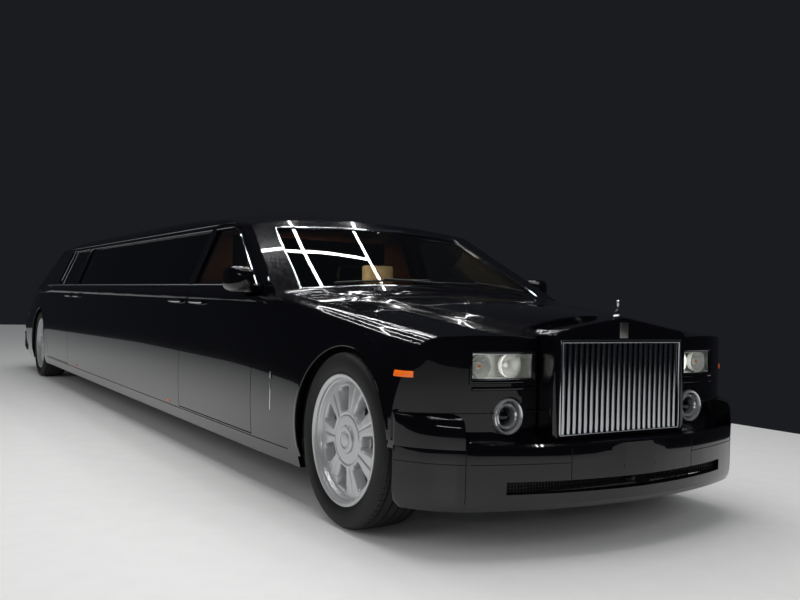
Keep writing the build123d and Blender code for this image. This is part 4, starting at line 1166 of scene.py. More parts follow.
@dataclass
class Grille:
    """Upright vanes in a thin frame, with a plain finial and a blank plate on the header."""

    repeat: Repeater
    half: float = 0.352
    low: float = 0.459
    high: float = 0.845
    bar: float = 0.009
    vanes: int = 22
    vane_width: float = 0.0175
    vane_depth: float = 0.034
    # Radius, and height over its foot
    finial: tuple[Flat, ...] = ((0.0001, 0.0003), (0.019, 0.0003), (0.019, 0.004), (0.016, 0.008),
                                (0.010, 0.011), (0.007, 0.020), (0.0058, 0.040), (0.0066, 0.052),
                                (0.0086, 0.060), (0.0078, 0.068), (0.0040, 0.0715), (0.0001, 0.072))

    def dress(self) -> None:
        """Builds the grille's pieces."""
        back, front = HEADER_FRONT - 0.012, HEADER_FRONT + 0.003
        outer, inner = self.half - 0.0003, self.half - self.bar
        foot, top = self.low + self.bar, self.high - self.bar
        rings = [[(back, y, z), (front, y, z), (front, v, w), (back, v, w)] for y, z, v, w in (
            (-outer, self.low, -inner, foot), (outer, self.low, inner, foot), (outer, self.high, inner, top),
            (-outer, self.high, -inner, top))]
        Form().weave(rings, closed=True).place(Piece("grille_frame", CHROME, nodes=("grille",), bevel=0.0022,
                                                     segments=3))
        half = self.vane_width / 2
        section = [(-self.vane_depth, -half * 0.4), (-self.vane_depth, half * 0.4), (-half * 1.1, half)]
        section += [(-half * (0.62 - 0.62 * math.cos(a)), half * math.sin(a))
                    for a in run(math.radians(75), math.radians(-75), 6)]
        section.append((-half * 1.1, -half))
        vane = Form().weave([[(HEADER_FRONT + x, y, z) for x, y in section]
                             for z in (foot - 0.001, top + 0.001)], capped=True)
        pitch = 2 * inner / self.vanes
        Piece("grille_vanes", CHROME, crease=40).adopt(
            self.repeat.spread(vane, self.vanes, CHROME, (0, -inner + pitch / 2, 0), step=(0, pitch, 0)))
        # Dull black sheet behind the vanes: painted shade in the depth of the grille
        Form().box((HEADER_FRONT - 0.069, -self.half + 0.001, self.low + 0.001),
                   (HEADER_FRONT - 0.062, self.half - 0.001, self.high - 0.001)).place(
            Piece("grille_shade_screen", SHADOW_BLACK))
        Form().lathe(self.finial, (HEADER_FRONT - 0.040, 0, 0.944), (0, 0, 1), 32, False).place(
            Piece("bonnet_finial", CHROME))
        Form().box((HEADER_FRONT - 0.002, -0.024, 0.856), (front, 0.024, 0.922)).place(
            Piece("header_blank_plate", STAINLESS, bevel=0.002, segments=3))


@dataclass
class Lamps:
    """Headlamps, fog lamps, side markers and tail lamps."""

    skin: Skin
    inner: float = 0.411
    outer: float = 0.699
    low: float = 0.687
    high: float = 0.789
    lamp_z: float = 0.738
    round_y: float = 0.642
    bowl_y: float = 0.500
    # Radius, and distance ahead of the lamp's centre
    fog_outer: tuple[Flat, ...] = ((0.0745, 0.0), (0.0745, 0.040), (0.0715, 0.049), (0.067, 0.052),
                                   (0.0625, 0.049), (0.0605, 0.040), (0.0600, 0.020), (0.0595, 0.0))
    fog_inner: tuple[Flat, ...] = ((0.0525, -0.010), (0.0525, 0.030), (0.0500, 0.037), (0.0455, 0.039),
                                   (0.0410, 0.034), (0.0385, 0.012), (0.0380, -0.010))
    fog_dome: tuple[Flat, ...] = ((0.0001, 0.030), (0.012, 0.029), (0.024, 0.025), (0.034, 0.016),
                                  (0.0378, 0.006), (0.0375, -0.008), (0.0001, -0.008))
    # Name, X of its middle, length, Z, and height
    marker_spots: tuple[tuple[str, float, float, float, float], ...] = (
        ("wing", 4.450, 0.078, 0.705, 0.025), ("sill_front", 1.638, 0.034, 0.288, 0.016),
        ("sill_rear", -1.256, 0.034, 0.288, 0.016))

    def opening(self, grow: float = 0.0) -> list[Flat]:
        """Outline of the headlamp's opening in (Y, Z), grown all round."""
        y0, y1, z0, z1 = self.inner - grow, self.outer + grow, self.low - grow, self.high + grow
        return [(y0, z0), (y1, z0), (y1, z1), (y0, z1)]

    def cover(self, side: int) -> Form:
        """Curved lens that follows the corner of the wing.

        Args:
            side: -1 on the right, 1 on the left.

        Returns:
            The shape.
        """
        (y0, z0), _, (y1, z1), _ = self.opening(-0.002)
        rings = []
        for u in run(0, 1, 14):
            y = y0 + (y1 - y0) * u
            faces = [[(NOSE_PLAN.wing_x(y) - depth + 0.003 * math.sin(math.pi * u) * math.sin(math.pi * v)
                       - 0.0054 * v * v, side * y, z0 + (z1 - z0) * v) for v in run(0, 1, 5)]
                     for depth in (0.010, 0.013)]
            rings.append(faces[0] + faces[1][::-1])
        return Form().weave(rings, capped=True)

    def housing(self, side: int) -> Form:
        """Open box behind the lens, with a thin wall.

        Args:
            side: -1 on the right, 1 on the left.

        Returns:
            The shape.
        """
        wall, half = 0.002, 0.55
        back = [(WING_FRONT - 0.118, side * y, z) for y, z in self.opening()]
        front = [(NOSE_PLAN.wing_x(y) - 0.016, y, z) for _, y, z in back]
        inside = [[(x + (wall if x < 4.52 else 0), y - math.copysign(wall, abs(y) - half) * side,
                    z - math.copysign(wall, z - self.lamp_z)) for x, y, z in row] for row in (front, back)]
        return Form().weave([back, front, *inside], capped=True)

    def headlamp(self, hand: str, side: int) -> None:
        """Clear cover, bright frame, silvered housing, a round outer lamp and an inner bowl.

        Args:
            hand: right or left.
            side: -1 on the right, 1 on the left.
        """
        self.cover(side).place(Piece(f"headlamp_lens_{hand}", LENS_CLEAR, nodes=("front_lamps",)))
        points = [Vector((NOSE_PLAN.wing_x(y) - 0.010, side * y, z)) for y, z in eased(self.opening(), 8)]
        Form().strip(points, [Vector(AHEAD)] * len(points), 0.008, 0.004, True, 0.010).place(
            Piece(f"headlamp_frame_{hand}", CHROME, slot="lamp_bezels"))
        outline = self.skin.from_end(eased(self.opening(0.009), 8), side, 1)
        bezel = self.skin.strip(Form(), outline, 0.013, 0.005, True)
        ledge = [(self.inner + y, 0.652) for y in run(0, 0.29, 12)]
        self.skin.strip(bezel, self.skin.from_end(ledge, side, 1), 0.016, 0.007).place(
            Piece(f"headlamp_bezel_{hand}", PAINT, slot="lamp_bezels"))
        self.housing(side).place(Piece(f"headlamp_housing_{hand}", REFLECTOR))
        bowls, bulbs = Form(), Form()
        for y, radius, front in ((self.round_y, 0.047, -0.047), (self.bowl_y, 0.048, -0.036)):
            profile = [(radius * math.sqrt(t), -0.052 * (1 - t)) for t in (0.05, 0.2, 0.4, 0.6, 0.8, 1.0)]
            profile += [(radius + 0.0025, 0.002), (radius + 0.0035, -0.004), (radius * 0.9, -0.03),
                        (radius * 0.22, -0.056)]
            bowls.lathe(profile, (WING_FRONT + front, side * y, self.lamp_z), AHEAD, 48)
        bowls.place(Piece(f"headlamp_bowls_{hand}", REFLECTOR))
        for y, front, radius in ((self.round_y, -0.072, 0.017), (self.bowl_y, -0.066, 0.011)):
            dome = ((0.0001, radius * 1.1), (radius * 0.6, radius * 0.9), (radius, radius * 0.3),
                    (radius, -0.02), (0.0001, -0.02))
            bulbs.lathe(dome, (WING_FRONT + front, side * y, self.lamp_z), AHEAD, 24, False)
        bulbs.place(Piece(f"headlamp_bulbs_{hand}", REFLECTOR))
        tint = ((0.0001, 0.0205), (0.006, 0.019), (0.009, 0.012), (0.009, 0.004), (0.0001, 0.004))
        Form().lathe(tint, (WING_FRONT - 0.072, side * self.round_y, self.lamp_z), AHEAD, 24, False).place(
            Piece(f"headlamp_turn_bulb_{hand}", LENS_AMBER))

    def fog_lamp(self, hand: str, side: int) -> None:
        """Round fog lamp: outer ring, inner ring, a dark domed lens and a pan behind.

        Args:
            hand: right or left.
            side: -1 on the right, 1 on the left.
        """
        centre = (WING_FRONT - 0.040, side * 0.537, 0.539)
        Form().lathe(self.fog_outer, centre, AHEAD, 72).lathe(self.fog_inner, centre, AHEAD).place(
            Piece(f"fog_rings_{hand}", SATIN))
        Form().lathe(self.fog_dome, centre, AHEAD, 48, False).place(
            Piece(f"fog_lens_{hand}", GLASS_DARK, slot="lamp_bezels"))
        Form().lathe(((0.0001, -0.030), (0.079, -0.030), (0.079, 0.004), (0.0001, 0.004)), centre, AHEAD, 64,
                     False).place(Piece(f"fog_pan_{hand}", PLASTIC))

    def dress(self) -> None:
        """Builds every lamp, with the amber markers and the frames of the tail lamps."""
        for hand, side in SIDES:
            self.headlamp(hand, side)
            self.fog_lamp(hand, side)
            for name, x, length, z, tall in self.marker_spots:
                places = [(spot, z) for spot in run(x + length / 2, x - length / 2, 8)]
                self.skin.strip(Form(), self.skin.from_side(places, side), tall, 0.004).place(
                    Piece(f"marker_{name}_{hand}", LENS_AMBER))
            loop = eased(((0.665, 0.592), (0.905, 0.592), (0.905, 0.743), (0.665, 0.743)), 8)
            self.skin.strip(Form(), self.skin.from_end(loop, side, -1), 0.008, 0.003, True).place(
                Piece(f"tail_lamp_frame_{hand}", CHROME))


@dataclass
class BumperTrim:
    """Shut lines, corner panels, intake slot and blank plate of the bumpers, with the sill seams."""

    skin: Skin
    repeat: Repeater
    # Width and height of a shut line
    seam: Flat = (0.0035, 0.0008)
    # Heights at which the rear corner is measured
    corner_rows: tuple[float, ...] = (0.194, 0.205, 0.22, 0.25, 0.29, 0.33, 0.37, 0.41, 0.435, 0.45, 0.46,
                                      0.47, 0.48, 0.50, 0.53, 0.572)
    corner_reach: float = 0.31
    rear_seam_z: float = 0.577

    def seams(self) -> None:
        """Dark shut lines of the bumpers, wings and sills: painted shadow in the gaps between the panels."""
        front, rear = Form(), Form()
        for side in (-1, 1):
            swing = [(1.4 * math.cos(a) + 3.9, side * 1.6 * math.sin(a))
                     for a in run(math.radians(2), math.radians(78), 39)]
            for z, start in ((0.372, 0.349), (0.556, 0.40)):
                rays = [((x, y, z), (3.95 - x, side * 0.30 - y, 0)) for x, y in swing if abs(y) > start]
                found = [(ray, self.skin.hit(*ray)) for ray in rays]
                self.skin.strip(front, [ray for ray, hit in found if hit and hit[0].x > 4.435], *self.seam)
            for y, low, high, count in ((0.349, 0.306, 0.426, 6), (0.772, 0.205, 0.430, 8)):
                places = [(y, z) for z in run(low, high, count)]
                self.skin.strip(front, self.skin.from_end(places, side, 1), *self.seam)
            sill = [(x, 0.262) for x in run(-2.84, 3.50, 48)]
            self.skin.strip(front, self.skin.from_side(sill, side), 0.006, 0.0006)
            z = self.rear_seam_z
            rays = self.skin.from_side([(-3.86 - 0.08 * k, z) for k in range(8)], side)
            for a in run(math.radians(7.5), math.radians(82.5), 10):
                aim = Vector((-math.sin(a), side * math.cos(a), 0))
                rays.append((Vector((-4.45, side * 0.66, z)) + aim * 0.8, -aim))
            rays += self.skin.from_end([(y, z) for y in run(0.62, 0.0, 8)], side, -1)
            self.skin.strip(rear, rays, *self.seam)
        front.place(Piece("bumper_shut_lines", SHADOW_BLACK, slot="black_paint"))
        rear.place(Piece("rear_bumper_shut_lines", SHADOW_BLACK, slot="black_paint"))

    def fairing(self, hand: str, side: int) -> None:
        """Carries a bumper corner up to the wing, flush with both, with a dark patch at its back.

        Args:
            hand: right or left.
            side: -1 on the right, 1 on the left.
        """
        rings = []
        for k, t in enumerate(run(0, math.pi / 2, 24)):
            y = 0.775 + 0.187 * math.sin(t)
            inset = 0.004 if k == 24 else 0.0
            wing = NOSE_PLAN.wing_x(y) - inset
            tip = max(NOSE_PLAN.swept_corner.x_at(y) - inset, wing)
            outline = [(tip + 0.0010, 0.428), (tip + 0.0010, 0.470)]
            slope_places = ((0.03, 0.510), (0.10, 0.533), (0.26, 0.547), (0.55, 0.5525))
            outline += [(tip - share * (tip - wing), z) for share, z in slope_places]
            outline += [(wing + 0.0012, 0.5545), (wing - 0.030, 0.5545), (wing - 0.030, 0.428)]
            spread = 0.0012 if y > 0.90 else 0.0
            rings.append([(x, side * (y + spread), z) for x, z in outline])
        form = Form().weave(rings, capped=True).outward()
        for face in form.mesh.faces:
            middle = face.calc_center_median()
            face.material_index = int(abs(middle.y) > 0.938 and middle.z > 0.45)
        form.place(Piece(f"bumper_fairing_{hand}", PAINT, crease=40, more=(PLASTIC,)))

    def intake(self) -> None:
        """Mesh in the intake slot, with a dark backing of painted shade and a small round sensor at its
        middle.
        """
        slat = Form().box((4.742, -0.0015, 0.257), (4.748, 0.0015, 0.303))
        mesh = self.repeat.spread(slat, 86, PLASTIC, (0, -0.6035, 0), step=(0, 0.0142, 0))
        for vert in mesh.vertices:
            vert.co = NOSE_PLAN.bend(vert.co)
        Piece("intake_mesh", PLASTIC).adopt(mesh)
        # Dull black band behind the mesh: painted shade in the slot
        Form().weave(NOSE_PLAN.band(0.665, 4.738, 0.28, (-0.014, -0.010), (0.250, 0.310)), capped=True).place(
            Piece("intake_shade", SHADOW_BLACK))
        bars = Form()
        for z in (0.262, 0.275, 0.288, 0.300):
            bars.weave(NOSE_PLAN.band(0.618, 4.741, z, (-0.003, 0.003), (z - 0.001, z + 0.001)), capped=True)
        bars.lathe(((0.0001, 0.0), (0.012, 0.0), (0.012, 0.040), (0.009, 0.043), (0.0001, 0.044)),
                   (4.745, 0, 0.280), AHEAD, 24, False).place(Piece("intake_bars", PLASTIC))

    def corner_plan(self, centre: Vector, side: int, z: float, angles: Sequence[float]) -> list[Point]:
        """Convex plan of the rear bumper's corner at a height.

        Args:
            centre: middle of the corner's turn.
            side: -1 on the right, 1 on the left.
            z: the height.
            angles: angles of the rays, from straight back to straight out.

        Returns:
            (angle, distance back, distance out) of the plan's corners.
        """
        chain: list[Point] = []
        for a in angles:
            aim = Vector((-math.cos(a), side * math.sin(a), 0))
            found = self.skin.hit(centre + aim * 0.8 + Vector((0, 0, z)), -aim)
            if not found or (found[0] - centre).xy.length < self.corner_reach:
                continue
            spot = (a, -found[0].x, abs(found[0].y))
            while len(chain) > 1 and ((chain[-1][1] - chain[-2][1]) * (spot[2] - chain[-1][2])
                                      < (chain[-1][2] - chain[-2][2]) * (spot[1] - chain[-1][1])):
                chain.pop()
            chain.append(spot)
        return chain

    def rear_corner(self, hand: str, side: int) -> None:
        """Corner panel of the rear bumper, flush with its face.

        Args:
            hand: right or left.
            side: -1 on the right, 1 on the left.
        """
        angles = run(0, math.pi / 2, 36)
        rows = []
        for z in self.corner_rows:
            chain = self.corner_plan(Vector((-4.40, side * 0.62, 0)), side, z, angles)
            if len(chain) < 5 or chain[0][0] > 0.3 or chain[-1][0] < 1.2:
                continue
            known = list(zip(*chain))
            face, back = [], []
            for a in angles:
                u, v = (float(np.interp(a, known[0], known[n])) for n in (1, 2))
                for row, lift in ((face, 0.0012), (back, -0.006)):
                    row.append((-u - lift * math.cos(a), side * (v + lift * math.sin(a)), z))
            rows.append(face + back[::-1])
        Form().weave(rows, capped=True).place(Piece(f"rear_bumper_corner_{hand}", PAINT, crease=40))

    def dress(self) -> None:
        """Builds the bumper trim and the blank rear number plate."""
        self.seams()
        self.intake()
        for hand, side in SIDES:
            self.fairing(hand, side)
            self.rear_corner(hand, side)
        rows = []
        for z in (0.612, 0.738):
            x = max(self.skin.hit((-5.2, 0.0, z), AHEAD)[0].x - 0.0025, -4.8212)
            rows.append([(x, -0.155, z), (x, 0.155, z), (x + 0.030, 0.155, z), (x + 0.030, -0.155, z)])
        Form().weave(rows, capped=True).place(Piece("rear_blank_plate", STAINLESS, "boot_lid", bevel=0.0015))


@dataclass
class RoadWheel:
    """Alloy wheel with seven windows and its tyre."""

    repeat: Repeater
    end: str
    hand: str
    side: int
    x: float
    windows: int = 7
    face_depth: float = 0.090
    window_low: float = 0.130
    window_high: float = 0.226
    half_angle: float = 10.5
    corner: float = 0.010
    face_radii: Flat = (0.062, 0.250)
    face_steps: int = 336
    face_rings: int = 62
    groove_width: float = 0.0032
    groove_depth: float = 0.0045
    hub_ring: float = 0.108
    cut_edge: float = 0.0035
    blocks: int = 76
    # Profiles: radius, and distance outwards from the wheel's centre plane
    rim: tuple[Flat, ...] = (
        (0.248, 0.062), (0.2485, 0.080), (0.2500, 0.084), (0.2540, 0.090), (0.2560, 0.0960), (0.2620, 0.1000),
        (0.2635, 0.1090), (0.2680, 0.1140), (0.2750, 0.1165), (0.2810, 0.1172), (0.2838, 0.1160),
        (0.2838, 0.1105), (0.2760, 0.1085), (0.2632, 0.1058), (0.2632, -0.106), (0.2838, -0.110),
        (0.2838, -0.117), (0.250, -0.117), (0.2465, -0.090), (0.2465, 0.055))
    hub: tuple[Flat, ...] = (
        (0.0001, 0.1040), (0.020, 0.1036), (0.030, 0.1020), (0.0335, 0.0985), (0.0345, 0.0960),
        (0.0380, 0.0960), (0.0390, 0.0985), (0.0470, 0.1000), (0.0560, 0.0990), (0.0600, 0.0960),
        (0.0625, 0.0900), (0.0630, 0.0600), (0.0001, 0.0600))
    disc: tuple[Flat, ...] = (
        (0.0335, 0.030), (0.072, 0.030), (0.074, 0.026), (0.078, -0.010), (0.178, -0.014), (0.180, -0.016),
        (0.180, -0.036), (0.178, -0.038), (0.072, -0.038), (0.0335, -0.038))
    wall: tuple[Flat, ...] = (
        (0.2636, 0.104), (0.2755, 0.1100), (0.2855, 0.1115), (0.2900, 0.1150), (0.2960, 0.1195),
        (0.3060, 0.1248), (0.3200, 0.1268), (0.3350, 0.1273), (0.3480, 0.1262), (0.3590, 0.1225),
        (0.3665, 0.1170), (0.3715, 0.1100))
    # Outer and inner side of each groove of the tread
    grooves: tuple[Flat, ...] = ((0.088, 0.080), (0.047, 0.039), (0.004, -0.004), (-0.039, -0.047),
                                 (-0.080, -0.088))

    def window_distance(self, radius: float, angle: float) -> float:
        """Signed distance to the rim of the nearest window, in metres; negative inside.

        Args:
            radius: distance from the hub.
            angle: angle round the hub, in radians.

        Returns:
            The distance.
        """
        pitch = 2 * math.pi / self.windows
        turn = (angle + pitch / 2) % pitch - pitch / 2
        across = abs(radius * math.sin(turn)) - radius * math.sin(math.radians(self.half_angle)) + self.corner
        middle, half = (self.window_low + self.window_high) / 2, (self.window_high - self.window_low) / 2
        along = abs(radius - middle) - half + self.corner
        return math.hypot(max(across, 0), max(along, 0)) + min(max(across, along), 0) - self.corner

    def face_height(self, radius: float, angle: float) -> float:
        """Height of the spoke face over the wheel's centre plane: dished, with grooves between the windows.

        Args:
            radius: distance from the hub.
            angle: angle round the hub, in radians.

        Returns:
            The height.
        """
        base = self.face_depth - 0.010 * ((radius - 0.05) / 0.20) ** 2
        dip = 0.5 - 0.5 * math.tanh((self.window_distance(radius, angle) - 0.002) / 0.0028)
        pitch = 2 * math.pi / self.windows
        groove = radius * math.sin(abs(angle % pitch - pitch / 2))
        fade = 1 / (1 + math.exp(-(radius - 0.112) / 0.006)) / (1 + math.exp((radius - 0.228) / 0.004))
        line = math.exp(-(groove / self.groove_width) ** 2) * self.groove_depth * fade
        ring = math.exp(-((radius - self.hub_ring) / 0.003) ** 2) * 0.003
        return base - 0.045 * dip - line - ring

    def spokes(self) -> bpy.types.Mesh:
        """Polar grid of the wheel's face, with the windows cut through.

        Returns:
            The mesh, in the row frame.
        """
        radii = run(*self.face_radii, self.face_rings)
        form, steps = Form(), self.face_steps
        shape = form.mesh
        grid = [[shape.verts.new((self.x + r * math.cos(a), self.side * (WHEEL_Y + self.face_height(r, a)),
                                  AXLE_Z + r * math.sin(a))) for a in around(steps)] for r in radii]
        for i, (low, high) in enumerate(zip(grid, grid[1:])):
            for k in range(steps):
                if self.window_distance((radii[i] + radii[i + 1]) / 2,
                                        2 * math.pi * (k + 0.5) / steps) >= -self.cut_edge:
                    n = (k + 1) % steps
                    shape.faces.new((low[k], low[n], high[n], high[k]))
        bmesh.ops.delete(shape, geom=[v for v in shape.verts if not v.link_faces], context="VERTS")
        bmesh.ops.recalc_face_normals(shape, faces=shape.faces)
        if sum(f.normal.y for f in shape.faces) * self.side < 0:
            bmesh.ops.reverse_faces(shape, faces=shape.faces)
        return form.release("spokes")

    def tread_blocks(self) -> Form:
        """One pair of shoulder blocks, about the wheel's centre.

        Returns:
            The shape.
        """
        width, slant, foot, top = 0.0125, 0.006, 0.3580, 0.3785
        form = Form()
        for sign in (1, -1):
            inner, outer = 0.090 * sign, 0.1195 * sign
            rings = []
            for y, height in ((inner, top), ((inner + outer) / 2, top - 0.0025),
                              (outer - sign * 0.004, 0.3665), (outer, 0.3600)):
                shift = slant * (y - inner) / (outer - inner)
                rings.append([(-width + shift, y, foot), (width + shift, y, foot), (width + shift, y, height),
                              (-width + shift, y, height)])
            form.weave(rings, capped=True)
        return form

    def dress(self) -> None:
        """Builds the spokes, the rim, the blank cap, the brake disc and the tyre with its ribs and blocks."""
        place, body = f"{self.end}_{self.hand}", f"{self.end}_{self.hand}_wheel"
        centre, axis = (self.x, self.side * WHEEL_Y, AXLE_Z), (0, self.side, 0)
        Piece(f"spokes_{place}", ALLOY, body, crease=50).adopt(self.spokes())
        Form().lathe(self.rim, centre, axis, 96).place(Piece(f"rim_{place}", ALLOY, body, (body,), crease=24))
        Form().lathe(self.hub, centre, axis, 64, False).place(
            Piece(f"hub_cap_{place}", ALLOY, body, crease=28))
        Form().lathe(self.disc, centre, axis, 72).place(Piece(f"brake_disc_{place}", CAST, body, crease=24))
        crown: list[Flat] = [(0.3735, 0.102)]
        for start, stop in self.grooves:
            for y, deep in ((start, 0), (start - 0.001, 1), (stop + 0.001, 1), (stop, 0)):
                crown.append((0.3815 - 0.42 * y * y - 0.007 * deep, y))
        crown.append((0.3735, -0.102))
        profile = [*self.wall, *crown, *((r, -y) for r, y in reversed(self.wall))]
        Form().lathe(profile, centre, axis, 120).place(
            Piece(f"tyre_{place}", RUBBER, body, (f"{place}_tyre",), crease=26))
        mesh = self.repeat.spread(self.tread_blocks(), self.blocks, RUBBER, centre,
                                  turn=(0, 2 * math.pi / self.blocks, 0))
        Piece(f"tread_blocks_{place}", RUBBER, body, crease=30).adopt(mesh)


@dataclass
class Cushion:
    """A padded piece: puffed by cloth pressure, then sewn with channels."""

    name: str
    nodes: Sequence[str]
    centre: Point
    size: Point
    lean: float = 0.0
    channels: int = 4
    lean_axis: str = "Y"
    fill: float = 0.7
    swell: float = 0.014
    frames: int = 20
    channel_depth: float = 0.010
    channel_half: float = 0.007
    seam_depth: float = 0.004
    # Voxels of a full run and of a quick one
    voxels: Flat = (0.0085, 0.012)
    sewn: ClassVar[dict[tuple, bpy.types.Mesh]] = {}

    def start(self) -> bpy.types.Object:
        """Makes a box with rounded corners, remeshed fine.

        Returns:
            The object, about the origin.
        """
        form = Form()
        half = [s / 2 - self.swell * 0.7 for s in self.size]
        form.box([-h for h in half], half).outward()
        bmesh.ops.bevel(form.mesh, geom=form.mesh.edges[:], offset=min(half) * 0.55, segments=4, profile=0.6,
                        affect="EDGES")
        made = hold(self.name, form.release(self.name))
        fine = made.modifiers.new("voxels", "REMESH")
        fine.mode = "VOXEL"
        fine.voxel_size = self.voxels[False]
        made.data = solid(made)
        made.modifiers.clear()
        return made

    def puff(self, made: bpy.types.Object) -> None:
        """Args:
            made: the object from start.
        """
        rest = read(made.data.vertices, "co", 3)
        cloth = made.modifiers.new("cloth", "CLOTH")
        for key, value in (("quality", 5), ("mass", 0.3), ("tension_stiffness", 25),
                           ("compression_stiffness", 25), ("bending_stiffness", 2),
                           ("use_pressure", True), ("uniform_pressure_force", 4)):
            setattr(cloth.settings, key, value)
        cloth.settings.effector_weights.gravity = 0
        cloth.point_cache.frame_start = 1
        cloth.point_cache.frame_end = self.frames
        for step in range(1, self.frames + 1):
            bpy.context.scene.frame_set(step)
        blown = solid(made)
        shift = read(blown.vertices, "co", 3) - rest
        made.modifiers.clear()
        bpy.context.scene.frame_set(1)
        bpy.data.meshes.remove(blown)
        length = np.linalg.norm(shift, axis=1, keepdims=True) + 1e-12
        moved = rest + shift / length * np.minimum(length, self.swell)
        made.data.vertices.foreach_set("co", moved.ravel())

    def sew(self, made: bpy.types.Object) -> None:
        """Draws the sewn channels and the edge seam in.

        Args:
            made: the puffed object.
        """
        places, normals = read(made.data.vertices, "co", 3), read(made.data.vertices, "normal", 3)
        deep = np.zeros(len(places))
        for line in run(-self.size[0] / 2, self.size[0] / 2, self.channels)[1:-1]:
            deep += self.channel_depth * np.exp(-((places[:, 0] - line) / self.channel_half) ** 2)
        edge = np.abs(places[:, 2]) < 0.006
        top = np.clip(places[:, 2] / (self.size[2] / 2) * 2, 0.0, 1.0)
        deep = (deep + np.where(edge, self.seam_depth, 0.0)) * np.where(edge, 1.0, top)
        made.data.vertices.foreach_set("co", (places - normals * deep[:, None]).ravel())

    def dress(self) -> None:
        """Builds the cushion; cushions of one size share one sewn mesh."""
        key = (self.size, self.channels)
        if key not in self.sewn:
            made = self.start()
            self.puff(made)
            self.sew(made)
            smooth = made.modifiers.new("smooth", "SUBSURF")
            smooth.levels = smooth.render_levels = 1
            self.sewn[key] = solid(made)
            bpy.data.objects.remove(made)
        mesh = self.sewn[key].copy()
        turn = Matrix.Rotation(math.radians(self.lean), 4, self.lean_axis)
        mesh.transform(Matrix.Translation(self.centre) @ turn)
        mesh.name = self.name
        Piece(self.name, HIDE, nodes=self.nodes, crease=180).adopt(mesh)


